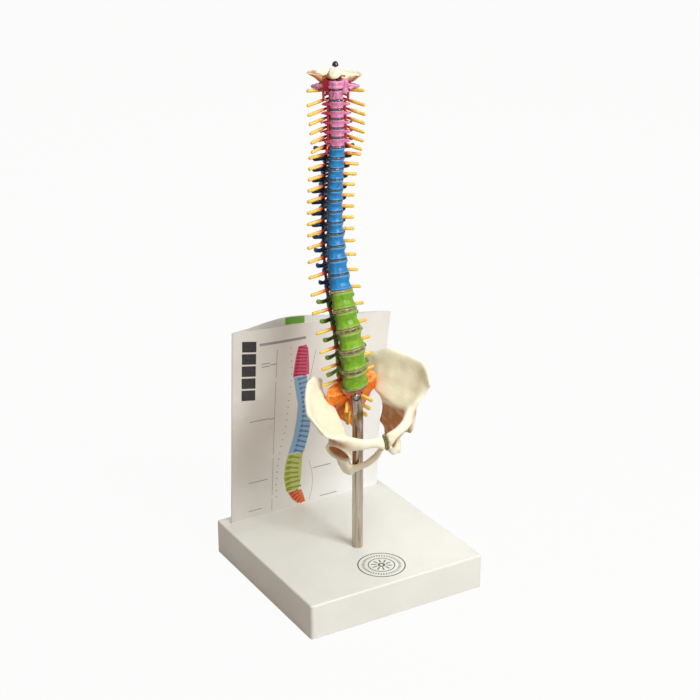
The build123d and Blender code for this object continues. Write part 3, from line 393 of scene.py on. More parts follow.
# Print on the card: on the front leaf five plain dark blocks, a drawing of the coloured column with
# its brackets and pips, and thin grey lines. A green patch shows on the rear leaf, above the front one.
charcoal = sheet_print("charcoal_print", (0.025, 0.024, 0.028))
grey = sheet_print("grey_print", (0.32, 0.31, 0.31))
crimson = sheet_print("crimson_print", (0.46, 0.004, 0.055))
sky = sheet_print("light_blue_print", (0.065, 0.19, 0.43))
lime = sheet_print("yellow_green_print", (0.27, 0.33, 0.015))
orange = sheet_print("orange_print", (0.50, 0.03, 0.004))
print_sunk, ground_thickness, print_thickness = 0.03, 0.04 * mm, 0.07 * mm


def on_leaf(co):
    """Lays a flat print, drawn in card coordinates, on the outer face of the front leaf."""
    x, height = co.x / mm, co.y / mm
    rise = max(0.0, (height - base_height) / (card_top - base_height))
    share = (x - card_left) / (card_width - top_narrowing * rise)
    return Vector(leaf_point(share, height, True, half_board - print_sunk + co.z / mm)) * mm


def patch(corners, ink, columns=6, rows=6):
    """A four-cornered printed field, divided so that it follows the card."""
    mesh = bpy.data.meshes.new("patch")
    places, faces = [], []
    low_left, low_right, high_right, high_left = [Vector((x, y)) for x, y in corners]
    for row in range(rows + 1):
        for column in range(columns + 1):
            across, up = column / columns, row / rows
            point = low_left.lerp(low_right, across).lerp(high_left.lerp(high_right, across), up)
            places.append((point.x * mm, point.y * mm, 0))
    for row in range(rows):
        for column in range(columns):
            first = row * (columns + 1) + column
            faces.append((first, first + 1, first + columns + 2, first + columns + 1))
    mesh.from_pydata(places, [], faces)
    mesh.materials.append(ink)
    return mesh


def bar(x, y, length, width, ink, upright=False):
    """A printed line or bar that starts at a point."""
    half = width / 2
    if upright:
        corners = [(x - half, y), (x + half, y), (x + half, y + length), (x - half, y + length)]
        return patch(corners, ink, 2, 10)
    return patch([(x, y - half), (x + length, y - half), (x + length, y + half), (x, y + half)], ink, 10, 1)


def field(left, right, ink, rungs=24, columns=4):
    """A printed field between two edges, each a few points from the top down."""
    mesh = bpy.data.meshes.new("field")
    edges = []
    for edge in (left, right):
        heights = [z for x, z in edge]
        steps = np.linspace(heights[0], heights[-1], rungs + 1)
        edges.append([(np.interp(-z, [-h for h in heights], [x for x, _ in edge]), z) for z in steps])
    places = []
    for (x0, z0), (x1, z1) in zip(*edges):
        places += [((x0 + (x1 - x0) * step / columns) * mm, (z0 + (z1 - z0) * step / columns) * mm, 0)
                   for step in range(columns + 1)]
    faces = []
    for rung in range(rungs):
        for column in range(columns):
            first = rung * (columns + 1) + column
            faces.append((first, first + columns + 1, first + columns + 2, first + 1))
    mesh.from_pydata(places, [], faces)
    mesh.materials.append(ink)
    return mesh


def drawn_bone(name, body, spike):
    """One drawn vertebra from the side: a block with a spiky process behind it, along the row's X."""
    return flat_shape(name, [(-0.44, -body), (0.40, -body * 1.04), (0.42, body * 0.5), (0.2, body * 0.9),
                             (0.55, body + spike), (0.1, body + spike * 1.05), (-0.2, body * 1.05),
                             (-0.42, body * 0.95)])


pale_crimson = sheet_print("pale_crimson_print", (0.60, 0.10, 0.20))
pale_sky = sheet_print("pale_blue_print", (0.27, 0.45, 0.64))
pale_lime = sheet_print("pale_green_print", (0.52, 0.58, 0.16))
pale_orange = sheet_print("pale_orange_print", (0.74, 0.17, 0.05))
grounds = [
    field([(-15.2, 207.5), (-17.2, 197.4), (-18.4, 187.0), (-19.2, 176.0)],
          [(-7.0, 208.0), (-4.4, 201.8), (-2.6, 185.6), (-2.0, 176.0)], pale_crimson),
    field([(-18.4, 175.4), (-15.6, 160.5), (-12.4, 145.9), (-13.0, 130.0), (-15.4, 111.9), (-20.6, 93.0)],
          [(-4.6, 175.4), (-1.6, 160.5), (2.6, 145.0), (3.2, 130.0), (1.4, 112.0), (-3.0, 93.0)],
          pale_sky, 48),
    field([(-20.8, 92.4), (-23.6, 80.3), (-24.4, 67.1), (-21.0, 50.8)],
          [(-4.6, 92.4), (-5.0, 80.0), (-5.2, 63.0), (-7.6, 50.8)], pale_lime),
    field([(-19.4, 50.2), (-14.4, 41.4), (-6.0, 33.4)],
          [(-4.6, 50.2), (-2.0, 44.0), (1.0, 33.8)], pale_orange)]
printed(grounds, ground_thickness, on_leaf, "chart_grounds")
drawing = []
parts_drawn = [
    ("neck", 9, 1.7, 6.6, 2.5, 3.2, crimson,
     [(-13.2, 206.0), (-14.6, 197.0), (-15.4, 187.0), (-16.2, 177.8)]),
    ("chest", 16, 1.2, 6.2, 3.2, 4.0, sky,
     [(-12.6, 172.5), (-9.6, 160.0), (-6.4, 146.0), (-6.2, 130.0), (-8.4, 112.0), (-12.8, 95.6)]),
    ("loin", 7, 2.6, 8.0, 4.2, 5.0, lime, [(-17.4, 89.4), (-19.6, 78.5), (-20.0, 67.5), (-17.8, 54.0)]),
    ("rump", 5, 2.2, 4.4, 3.2, 1.9, orange, [(-14.6, 48.0), (-11.4, 43.0), (-7.6, 38.6), (-4.0, 35.4)]),
]
for name, count, body, spike, first, last, ink, path in parts_drawn:
    shape = drawn_bone(name, body / first, spike / first)
    drawing.append(row_of(shape, curve_through(f"{name}_line", path), count, first, last, ink))
pips = [(-22.8, 207.4), (-20.6, 178.7), (-22.2, 152.5), (-25.0, 120.8), (-30.0, 94.7), (-32.4, 67.7),
        (-31.6, 48.5)]
drawing.append(row_of(flat_bar("pip", 0.5, 0.8), curve_through("pips", pips), 24, 0.8, 1.0, grey))
lowest_block, block_pitch = [(-70.6, 161.0), (-57.0, 159.2), (-57.2, 169.9), (-70.8, 171.7)], 12.4
for step in range(5):
    drawing.append(patch([(x, y + block_pitch * step) for x, y in lowest_block], charcoal, 4, 4))
drawing.append(bar(-54.0, 215.6, 46.0, 2.6, grey))
bracket_x, bracket_line, grey_line = -36.6, 0.5, 0.9
for low, high in ((179.0, 208.0), (97.0, 175.0), (52.0, 93.0), (34.5, 48.0)):
    drawing.append(bar(bracket_x, low, high - low, bracket_line, grey, True))
for x, y, length in ((-51.5, 195.5, 8), (-51.5, 192.5, 8), (-62.0, 137.0, 20), (-62.0, 71.0, 20),
                     (-61.5, 40.0, 14), (7.5, 71.0, 20), (17.0, 36.8, 19), (-43.0, 193.5, 6),
                     (-42.0, 136.0, 5)):
    drawing.append(bar(x, y, length, grey_line, grey))
for path in ([(3.4, 200.0), (1.2, 185.0), (-1.8, 167.3)],
             [(3.0, 80.0), (7.2, 64.0), (7.6, 50.0), (5.0, 36.0)]):
    dash = flat_bar("dash", 0.9, 0.2)
    drawing.append(row_of(dash, curve_through("thin_curve", path), 30, 1.0, 1.0, grey))
printed(drawing, print_thickness, on_leaf, "chart_print")


def on_rear(co):
    """Lays a flat print on the inner face of the rear leaf, which shows above the front one."""
    share = (co.x / mm - card_left) / (card_width - top_narrowing)
    x, y, z = leaf_point(share, card_top, False, print_sunk - half_board - co.z / mm)
    return Vector((x, y, co.y / mm + swelling(share, card_top) - rear_swell)) * mm


leaf_green = sheet_print("leaf_green_print", (0.16, 0.38, 0.04))
printed([patch([(-25.0, 228.5), (-5.0, 228.5), (-5.0, 235.4), (-25.0, 235.4)], leaf_green)],
        print_thickness, on_rear, "rear_leaf_print")

# Support tube: a drawn chrome tube pressed into the base, its upper end flattened from the front,
# where a round-headed screw holds the sacrum to it.
chrome, tree, shader = principled("polished_chrome", 0.1, metallic=1.0)
place = tree.nodes.new("ShaderNodeTexCoord")
drawn = tree.nodes.new("ShaderNodeMapping")
drawn.inputs["Scale"].default_value = (1, 1, 0.04)
drawn_streaks_and_painted_reflection = tree.nodes.new("ShaderNodeTexNoise")
drawn_streaks_and_painted_reflection.inputs["Scale"].default_value = 420
drawn_streaks_and_painted_reflection.inputs["Detail"].default_value = 3
tree.links.new(place.outputs["Object"], drawn.inputs["Vector"])
tree.links.new(drawn.outputs["Vector"], drawn_streaks_and_painted_reflection.inputs["Vector"])
# The streak tones are partly the drawn finish and partly a painted reflection of the brown and orange parts
# around the tube.
tone = ramp(tree, drawn_streaks_and_painted_reflection.outputs["Fac"], [(0.36, (0.30, 0.24, 0.18)), (0.46, (0.47, 0.39, 0.30)),
                                           (0.64, (0.64, 0.57, 0.48))])
tree.links.new(tone, shader.inputs["Base Color"])
dull(tree, shader, speckle(tree, 0.006, 3), 0.1, 0.18)
relief(tree, shader, [(drawn_streaks_and_painted_reflection.outputs["Fac"], 0.00001)])
nodes["support_tube"].data.materials[0] = chrome

steel, tree, shader = principled("plain_steel", 0.3, metallic=1.0)
tone = ramp(tree, speckle(tree, 0.0006, 3), [(0.35, (0.42, 0.41, 0.40)), (0.7, (0.62, 0.61, 0.60))])
tree.links.new(tone, shader.inputs["Base Color"])
relief(tree, shader, [(speckle(tree, 0.0005, 3), 0.00002)])
screw_low, screw_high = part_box("tube_screw")
head_middle = Vector(((screw_low.x + screw_high.x) / 2, 0, (screw_low.z + screw_high.z) / 2))
head_radius, head_height, shank_radius = 3.2 * mm, 2.6 * mm, 1.3 * mm
recess, slot_half, slot_reach = 1.3 * mm, 0.42 * mm, 0.62
head_back = screw_low.y + head_height


def head_profile(share):
    """How far a round head stands forward, from its rim, share 1, to its middle, share 0."""
    return head_height * (0.28 + 0.72 * math.sqrt(max(0.0, 1 - share ** 2.6)))


head = bmesh.new()
rings, sides = 26, 64
turns = [2 * math.pi * side / sides for side in range(sides)]
loops = []
for ring in range(1, rings + 1):
    share = ring / rings
    loop = []
    for angle in turns:
        x, z = head_radius * share * math.cos(angle), head_radius * share * math.sin(angle)
        cut = min(abs(x), abs(z)) < slot_half and share < slot_reach
        loop.append(head.verts.new((head_middle.x + x, head_back - head_profile(share) + recess * cut,
                                    head_middle.z + z)))
    loops.append(loop)
middle = head.verts.new((head_middle.x, head_back - head_height + recess, head_middle.z))
for side in range(sides):
    head.faces.new((middle, loops[0][side], loops[0][side - 1]))
for radius, y in ((head_radius, head_back), (shank_radius, head_back), (shank_radius, screw_high.y)):
    loops.append([head.verts.new((head_middle.x + radius * math.cos(a), y,
                                  head_middle.z + radius * math.sin(a))) for a in turns])
for inner, outer in zip(loops, loops[1:]):
    for side in range(sides):
        head.faces.new((inner[side - 1], inner[side], outer[side], outer[side - 1]))
head.faces.new(loops[-1])
bmesh.ops.recalc_face_normals(head, faces=head.faces)
head_mesh = bpy.data.meshes.new("round_head_screw")
head.to_mesh(head_mesh)
head.free()
piece_from("round_head_screw", head_mesh, "tube_screw", steel)
head_mesh.set_sharp_from_angle(angle=math.radians(35))

# Sacrum with coccyx: cast in resin and painted bright orange, darker red down the middle of its upper part,
# with painted shade of dark red in its hollows, and with rough bumps and faint ridges.
pull_in, push_out, merge_distance = 0.6, -0.56, 0.002 * mm
hollow_rounds, hollow_depth = 9, 0.5 * mm


def neighbours(mesh):
    """The mean of each point's neighbours, as a function of the points."""
    edges = np.zeros(len(mesh.edges) * 2, np.int64)
    mesh.edges.foreach_get("vertices", edges)
    one, two = edges[::2], edges[1::2]
    count = np.bincount(edges, minlength=len(mesh.vertices)).astype(float)

    def mean(points):
        total = np.empty_like(points)
        for axis in range(3):
            total[:, axis] = np.bincount(one, points[two, axis], len(points))
            total[:, axis] += np.bincount(two, points[one, axis], len(points))
        return total / count[:, None]

    return mean


def lumps(points, size, seed):
    """Soft noise at each point, from -1 to 1, with lumps of about this size in metres."""
    scale, shift = 1.0 / size, Vector((seed, 0, 0))
    return np.array([noise.noise(Vector(point) * scale + shift) for point in points.tolist()])


def eased(points, mean, rounds):
    """Takes flats and corners off over a wider stretch, and gives back what that shrinks."""
    soft = points
    for _ in range(rounds):
        soft = mean(soft)
    shift = soft - points
    for _ in range(rounds):
        shift = mean(shift)
    return soft - shift


def cast(node, name, voxel, rounds, carve=None, ease=0, settle=0):
    """A CAD node's form as a casting: an even mesh, edges rounded off, then carved along its normals.
    Its points keep how far each lies in a hollow."""
    shell = bmesh.new()
    shell.from_mesh(nodes[node].data)
    bmesh.ops.remove_doubles(shell, verts=shell.verts, dist=merge_distance)
    rough = bpy.data.meshes.new(name)
    shell.to_mesh(rough)
    shell.free()
    form = bpy.data.objects.new(name, rough)
    scene.collection.objects.link(form)
    even = form.modifiers.new("even", "REMESH")
    even.mode = "VOXEL"
    even.voxel_size = voxel
    graph = bpy.context.evaluated_depsgraph_get()
    mesh = bpy.data.meshes.new_from_object(form.evaluated_get(graph))
    bpy.data.objects.remove(form)
    mesh.name = name
    mean = neighbours(mesh)
    points = np.zeros(len(mesh.vertices) * 3)
    mesh.vertices.foreach_get("co", points)
    points = points.reshape(-1, 3)
    for _ in range(rounds):
        for share in (pull_in, push_out):
            points = points + share * (mean(points) - points)
    points = eased(points, mean, ease)

    def normals():
        mesh.vertices.foreach_set("co", points.ravel())
        mesh.update()
        found = np.zeros(len(points) * 3, np.float32)
        mesh.vertex_normals.foreach_get("vector", found)
        return found.reshape(-1, 3).astype(float)

    facing = normals()
    if carve:
        points = eased(points + facing * carve(points, facing)[:, None], mean, settle)
        facing = normals()
    far = points
    for _ in range(hollow_rounds):
        far = mean(far)
    mark(mesh, "hollow", 0.5 + np.einsum("ij,ij->i", far - points, facing) / hollow_depth)
    return mesh, points, facing


def mark(mesh, name, values):
    """Keeps a value from 0 to 1 on each point of a mesh, for its material to read."""
    layer = mesh.attributes.new(name, "FLOAT", "POINT")
    layer.data.foreach_set("value", np.clip(values, 0, 1).astype(np.float32))


def attribute(tree, name):
    """What a material reads of a value kept on the points."""
    node = tree.nodes.new("ShaderNodeAttribute")
    node.attribute_name = name
    return node.outputs["Fac"]


def paint(name, light, body, deep, roughness, size, edge):
    """Brushed paint on resin, with a painted highlight on convex edges and painted shade in hollows."""
    material, tree, shader = principled(name, roughness, coat=0.05)
    tone = ramp(tree, speckle(tree, size, 5, 0.6), [(0.36, body), (0.62, light)])
    # Painted shade in the hollows, and a painted highlight on convex edges.
    low = ramp(tree, attribute(tree, "hollow"), [(edge[0], (0, 0, 0)), (edge[1], (1, 1, 1))])
    high = ramp(tree, attribute(tree, "hollow"), [(0.12, (1, 1, 1)), (0.36, (0, 0, 0))])
    highlight_tone = tuple(0.9 * part + 0.1 * max(light) for part in light)
    worn = blend(tree, high, tone, highlight_tone)
    colour = blend(tree, low, worn, deep)
    shader.inputs["Specular IOR Level"].default_value = 0.28
    dull(tree, shader, speckle(tree, size * 0.8, 4), roughness - 0.08, roughness + 0.12)
    relief(tree, shader, [(speckle(tree, 0.0011, 3), 0.00006), (speckle(tree, 0.005, 3), 0.0002)])
    return material, tree, shader, colour


# The dark red in the hollows is painted shade.
sacrum_paint, tree, shader, colour = paint("orange_paint", (0.92, 0.29, 0.002), (0.80, 0.13, 0.002),
                                           (0.42, 0.02, 0.005), 0.42, 0.012, (0.58, 0.85))
colour = blend(tree, attribute(tree, "dark_paint_and_painted_shade"), colour, (0.66, 0.055, 0.004))
tree.links.new(colour, shader.inputs["Base Color"])


def step_up(values, low, high):
    """A smooth step from 0 at low to 1 at high."""
    share = np.clip((values - low) / (high - low), 0, 1)
    return share * share * (3 - 2 * share)


def sacral_carving(points, facing):
    """Rough bumps and pits, and fine ridges that run across the front."""
    ridges = np.sin(points[:, 2] / (0.42 * mm) + 3 * lumps(points, 9 * mm, 5.2))
    ridges = ridges * step_up(-facing[:, 1], 0.1, 0.6)
    return (lumps(points, 6 * mm, 3.1) * 0.6 + lumps(points, 2.4 * mm, 7.7) * 0.26 + 0.04 * ridges) * mm


mesh, points, _ = cast("sacrum_coccyx", "sacrum_casting", 0.56 * mm, 3, sacral_carving, 6)
sacrum_low, sacrum_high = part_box("sacrum_coccyx")
inward = 1 - np.abs(points[:, 0] - (sacrum_low.x + sacrum_high.x) / 2) / (15 * mm)
high_up = step_up(points[:, 2], 0.150, 0.176)
mark(mesh, "dark_paint_and_painted_shade", step_up(inward + 0.55 * lumps(points, 8 * mm, 6.4), 0.0, 0.9) * high_up)
piece_from("sacrum_casting", mesh, "sacrum_coccyx", sacrum_paint)

# Hip bones: the pair is cast in cream resin, thin in the wings and thick at the crests, with warm brown
# painted shade in the sockets, above their rims and on the inner walls.
sacrum_top = Vector((-1.0, -16.1, 193.2)) * mm
pelvis = (Matrix.Translation(sacrum_top) @ Matrix.Rotation(math.radians(-3), 4, "Z")
          @ Matrix.Rotation(math.radians(-13), 4, "Y"))
to_pelvis = np.array(pelvis.inverted())
socket_middle = np.array([37.4, -21.5, -43.0]) * mm
socket_axis = np.array([0.82, -0.42, -0.38]) / np.linalg.norm([0.82, -0.42, -0.38])


def in_pelvis(points, facing):
    """Points and directions in the pelvis's own frame, with the right side turned on to the left."""
    local = points @ to_pelvis[:3, :3].T + to_pelvis[:3, 3]
    turned = facing @ to_pelvis[:3, :3].T
    side = np.where(local[:, :1] < 0, -1.0, 1.0)
    flip = np.concatenate([side, np.ones_like(side), np.ones_like(side)], 1)
    return local * flip, turned * flip


def from_socket(local):
    """How far points in the pelvis's frame lie along the socket's axis, and how far from it."""
    reach = local - socket_middle
    along = reach @ socket_axis
    return along, np.linalg.norm(reach - along[:, None] * socket_axis, axis=1)


def hip_carving(points, facing):
    """A thicker socket rim, rough seat bones and pubic ends, and faint ripples over the wings."""
    local = in_pelvis(points, facing)[0]
    along, across = from_socket(local)
    rim = np.exp(-((across - 12.2 * mm) / (1.5 * mm)) ** 2) * step_up(along, -1 * mm, 2 * mm)
    seat = step_up(-local[:, 2], 62 * mm, 74 * mm)
    pubis = step_up(10 * mm - np.abs(local[:, 0]), 0, 7 * mm) * step_up(-local[:, 1], 30 * mm, 36 * mm)
    wing = step_up(local[:, 2], -20 * mm, -8 * mm)
    broad = lumps(points, 9 * mm, 1.3)
    small = lumps(points, 2.4 * mm, 5.9)
    return (rim * 0.5 + broad * (0.25 + 0.2 * wing) + small * (0.07 + 0.22 * seat + 0.34 * pubis)) * mm


bone_paint, tree, shader, colour = paint("cream_bone_paint", (0.93, 0.89, 0.69), (0.90, 0.845, 0.63),
                                         (0.55, 0.42, 0.26), 0.38, 0.008, (0.66, 1.0))
# Warm brown painted shade, laid where the mark below asks for it.
dark_paint_and_painted_shade = ramp(tree, attribute(tree, "dark_paint_and_painted_shade"), [(0.15, (0, 0, 0)), (0.85, (1, 1, 1))])
tree.links.new(blend(tree, dark_paint_and_painted_shade, colour, (0.50, 0.205, 0.055)), shader.inputs["Base Color"])
for side in ("left", "right"):
    mesh, points, facing = cast(f"hip_bone_{side}", f"hip_casting_{side}", 0.74 * mm, 3, hip_carving, 52)
    local, turned = in_pelvis(points, facing)
    along, across = from_socket(local)
    # Painted shade: in the socket, on the inner wall below the brim, and on the face above the socket's
    # rim.
    cup = step_up(-across, -11 * mm, -9 * mm) * step_up(along, -9 * mm, -7 * mm)
    cup = cup * step_up(-along, -2.5 * mm, 0)
    inner = step_up(-turned[:, 0], 0.35, 0.75) * step_up(-local[:, 2], 24 * mm, 30 * mm)
    inner = inner * step_up(local[:, 1], -34 * mm, -28 * mm)
    above_cup = step_up(turned @ socket_axis, 0.0, 0.4) * np.exp(-((across - 17 * mm) / (5 * mm)) ** 2)
    above_cup = above_cup * step_up(local[:, 2], -38 * mm, -31 * mm)
    patchy = 0.86 + 0.3 * lumps(points, 6 * mm, 9.1)
    mark(mesh, "dark_paint_and_painted_shade", np.clip(cup * 0.95 + inner * 0.9 + above_cup * 0.8, 0, 1) * patchy)
    piece_from(f"hip_casting_{side}", mesh, f"hip_bone_{side}", bone_paint)

# Symphysis: a soft pad of clear brown plastic, cast to fit between the ends of the pubic bones and
# glued to them. Its edges catch the light, and a painted highlight on them adds to it.


def clear_plastic(name, coat, dark, pale, rim_highlight_colour, smooth, worn):
    """Cloudy clear plastic with a painted highlight on its rims, its roughness between two values."""
    material, tree, shader = principled(name, smooth, coat=coat)
    tone = ramp(tree, speckle(tree, 0.009, 2), [(0.35, dark), (0.65, pale)])
    # Painted highlight on the convex rims.
    rim = ramp(tree, attribute(tree, "hollow"), [(0.1, (1, 1, 1)), (0.42, (0, 0, 0))])
    tree.links.new(blend(tree, rim, tone, rim_highlight_colour), shader.inputs["Base Color"])
    shader.inputs["Transmission Weight"].default_value = 0.4
    shader.inputs["IOR"].default_value = 1.45
    dull(tree, shader, speckle(tree, 0.003, 3), smooth, worn)
    relief(tree, shader, [(speckle(tree, 0.006, 1), 0.0001)])
    return material


def pad_carving(points, facing):
    """Slight lumps."""
    return lumps(points, 3 * mm, 2.2) * 0.12 * mm


clear_amber = clear_plastic("clear_brown_plastic", 0.6, (0.13, 0.10, 0.03), (0.22, 0.17, 0.06),
                            (0.55, 0.45, 0.20), 0.06, 0.22)
mesh = cast("symphysis_disc", "symphysis_pad", 0.3 * mm, 4, pad_carving)[0]
piece_from("symphysis_pad", mesh, "symphysis_disc", clear_amber)

# Vertebrae: twenty-four castings, painted pink in the neck, blue in the chest and green in the loins.
# Each body has a rolled rim above and below a slight waist, and painted shade darkens the arch behind it.
levels = [f"c{step}" for step in range(1, 8)] + [f"t{step}" for step in range(1, 13)]
levels += [f"l{step}" for step in range(1, 6)]
disc_names = [f"disc_{upper}_{lower}" for upper, lower in zip(levels[1:], [*levels[2:], "s1"])]


def middle_of(node):
    """The middle of a node's box."""
    low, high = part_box(node)
    return np.array((low + high) / 2)


column_points = sorted((tuple(middle_of(node)) for node in disc_names), key=lambda point: point[2])
column_heights = [point[2] for point in column_points]


def from_column(points):
    """How far each point lies, level, from the line through the bodies."""
    x = np.interp(points[:, 2], column_heights, [point[0] for point in column_points])
    y = np.interp(points[:, 2], column_heights, [point[1] for point in column_points])
    return np.hypot(points[:, 0] - x, points[:, 1] - y)


def column_paint(name, light, body, deep, size):
    """Paint for a region of the column, with painted shade behind its bodies."""
    material, tree, shader, colour = paint(name, light, body, deep, 0.32, size, (0.7, 1.0))
    tree.links.new(blend(tree, attribute(tree, "dark_paint_and_painted_shade"), colour, deep), shader.inputs["Base Color"])
    return material


pink = column_paint("pink_paint", (0.65, 0.24, 0.42), (0.51, 0.14, 0.30), (0.34, 0.006, 0.02), 0.0035)
blue = column_paint("blue_paint", (0.022, 0.25, 0.57), (0.010, 0.155, 0.43), (0.003, 0.012, 0.05), 0.0045)
green = column_paint("green_paint", (0.23, 0.43, 0.022), (0.12, 0.31, 0.011), (0.022, 0.04, 0.004), 0.0055)
# For each region: its paint, its slot, how fine its mesh is, how much plumper its processes are, how
# far behind the bodies' middles its painted shade starts, and how far its tips stay free of that.
regions = {"c": (pink, "cervical_pink", 0.42 * mm, 0.1 * mm, -3 * mm, 0.8),
           "t": (blue, "thoracic_blue", 0.5 * mm, 0.35 * mm, -6 * mm, 0.0),
           "l": (green, "lumbar_green", 0.58 * mm, 0.7 * mm, -6 * mm, 0.8)}


def vertebra_carving(low, high, width, plump):
    """Rims and waist for the body between two disc middles, plump processes and lumps on the arch."""
    tall = np.linalg.norm(high - low)
    axis = (high - low) / tall

    def carve(points, facing):
        reach = points - low
        along = reach @ axis / tall
        across = np.linalg.norm(reach - (reach @ axis)[:, None] * axis, axis=1)
        body = step_up(-across, -0.62 * width, -0.54 * width)
        body = body * step_up(low[1] - points[:, 1], -0.2 * width, 0)
        side = 1 - np.abs(facing @ axis)
        rims = np.exp(-((along - 0.15) / 0.07) ** 2) + np.exp(-((along - 0.85) / 0.07) ** 2)
        waist = np.exp(-((along - 0.5) / 0.2) ** 2)
        shape = (0.028 * rims - 0.018 * waist) * width * body * side
        shape = shape + plump * step_up(across, 0.66 * width, 0.8 * width)
        return shape + (lumps(points, 3.6 * mm, 4.4) * 0.16 + lumps(points, 1.7 * mm, 8.8) * 0.07) * mm

    return carve


def arch_carving(points, facing):
    """A deeper front arch on the ring, which laps over the second vertebra as a blunt lip."""
    low, high = points.min(0), points.max(0)
    front = step_up((low + high)[1] / 2 - points[:, 1], 0, 3 * mm)
    near = step_up(12.5 * mm - np.abs(points[:, 0] - (low + high)[0] / 2), 0, 4 * mm)
    lip = step_up(-facing[:, 2], 0.05, 0.7) * front * near
    return 1.9 * mm * lip + axis_carving(points, facing)


def axis_carving(points, facing):
    """A plumper skin with soft lumps on the second vertebra."""
    return (0.25 + lumps(points, 3.2 * mm, 2.2) * 0.3) * mm


for place, level in enumerate(levels):
    node = f"vertebra_{level}"
    cover, slot, voxel, plump, painted_shade_start, unshaded_tips = regions[level[0]]
    if level == "c1":
        carve = arch_carving
    elif level == "c2":
        carve = axis_carving
    else:
        above, below = disc_names[place - 2], disc_names[place - 1]
        low_corner, high_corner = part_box(below)
        carve = vertebra_carving(middle_of(below), middle_of(above), high_corner.x - low_corner.x, plump)
    mesh, points, _ = cast(node, f"{node}_casting", voxel, 2, carve, 10)
    low_corner, high_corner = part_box(disc_names[max(0, place - 2)])
    behind = points[:, 1] - (low_corner.y + high_corner.y) / 2
    reach = from_column(points) / (high_corner.x - low_corner.x)
    # Painted shade on the arch behind each body, lighter far behind it and off the tips.
    dark = step_up(behind, painted_shade_start, painted_shade_start + 5 * mm) * step_up(reach, 0.38, 0.52)
    dark = dark * (1 - 0.75 * step_up(behind, 9 * mm, 15 * mm))
    mark(mesh, "dark_paint_and_painted_shade", dark * (1 - unshaded_tips * step_up(reach, 0.75, 1.05)))
    piece_from(f"{node}_casting", mesh, node, cover)

# Discs: washers of clear vinyl threaded on the wire between the bodies, smoky in the neck and chest and
# brown in the loins, a little wider than the bodies, so that their rims catch the light, with a painted
# highlight on them.
clear_vinyl = clear_plastic("clear_vinyl", 0.8, (0.02, 0.018, 0.022), (0.06, 0.055, 0.055),
                            (0.11, 0.105, 0.11), 0.04, 0.16)
for node in disc_names:
    mesh = cast(node, f"{node}_washer", 0.5 * mm, 1, ease=4)[0]
    piece_from(f"{node}_washer", mesh, node, clear_amber if "_l" in node else clear_vinyl)

# Cord and nerve stubs: soft vinyl rods pushed into the canal, yellow at their free ends and turning
# orange and then red towards where they leave the column.
nerve_vinyl, tree, shader = principled("yellow_vinyl", 0.42, coat=0.1)
yellow = ramp(tree, speckle(tree, 0.005, 4), [(0.35, (0.80, 0.50, 0.055)), (0.65, (0.86, 0.62, 0.13))])
shader.inputs["Subsurface Weight"].default_value = 0.08
shader.inputs["Subsurface Scale"].default_value = 0.002
root_orange = ramp(tree, attribute(tree, "root"), [(0.0, (0, 0, 0)), (1.0, (1, 1, 1))])
tinted = blend(tree, root_orange, yellow, (0.72, 0.17, 0.015))
red_root = ramp(tree, attribute(tree, "root"), [(0.72, (0, 0, 0)), (0.96, (1, 1, 1))])
tree.links.new(blend(tree, red_root, tinted, (0.42, 0.02, 0.012)), shader.inputs["Base Color"])
dull(tree, shader, speckle(tree, 0.004, 3), 0.34, 0.5)
relief(tree, shader, [(speckle(tree, 0.0014, 3), 0.00008)])


def nerve_carving(points, facing):
    """Soft rods, plumper towards their free ends, and most so in front of the sacrum."""
    low_down = step_up(-points[:, 2], -0.19, -0.17)
    free = step_up(from_column(points), 9 * mm, 14 * mm)
    plump = 0.45 * np.maximum(free, low_down) + 0.35 * low_down
    return (plump + lumps(points, 2.6 * mm, 6.1) * 0.12) * mm


mesh, points, _ = cast("spinal_nerves", "cord_with_stubs", 0.62 * mm, 2, nerve_carving)
heights, reaches = [0.178, 0.196, 0.28, 0.34, 0.45], [-0.009, 0.015, 0.014, 0.0106, 0.0104]
girth = np.interp(points[:, 2], heights, reaches)
mark(mesh, "root", 1 - (from_column(points) - girth) / (6.5 * mm) + 0.2 * lumps(points, 3 * mm, 3.3))
piece_from("cord_with_stubs", mesh, "spinal_nerves", nerve_vinyl)

# Vertebral arteries: thin red vinyl lines, a left and a right one, threaded through the side processes
# of the neck up to the plate.
artery_vinyl, tree, shader = principled("red_vinyl", 0.22, coat=0.5)
tone = ramp(tree, speckle(tree, 0.003, 3), [(0.35, (0.42, 0.008, 0.01)), (0.7, (0.62, 0.02, 0.015))])
tree.links.new(tone, shader.inputs["Base Color"])
relief(tree, shader, [(speckle(tree, 0.001, 2), 0.00005)])


def artery_carving(points, facing):
    """Full round lines with soft swellings."""
    return (0.4 + 0.15 * lumps(points, 4 * mm, 1.7)) * mm


for side in ("left", "right"):
    node, name = f"vertebral_artery_{side}", f"artery_line_{side}"
    mesh = cast(node, name, 0.32 * mm, 3, artery_carving)[0]
    piece_from(name, mesh, node, artery_vinyl)

# Occipital plate: the cast floor of the skull, cream with brown shade below and on its right side, with
# a thin wavy rim and a blunt white knob in front. The wire holds it down on the first vertebra.


def from_knob(points):
    """How far each point lies from the middle of the knob."""
    corner = np.array(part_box("occipital_plate")[0])
    return np.linalg.norm(points - corner - np.array([17.6, 6.6, 6.4]) * mm, axis=1)


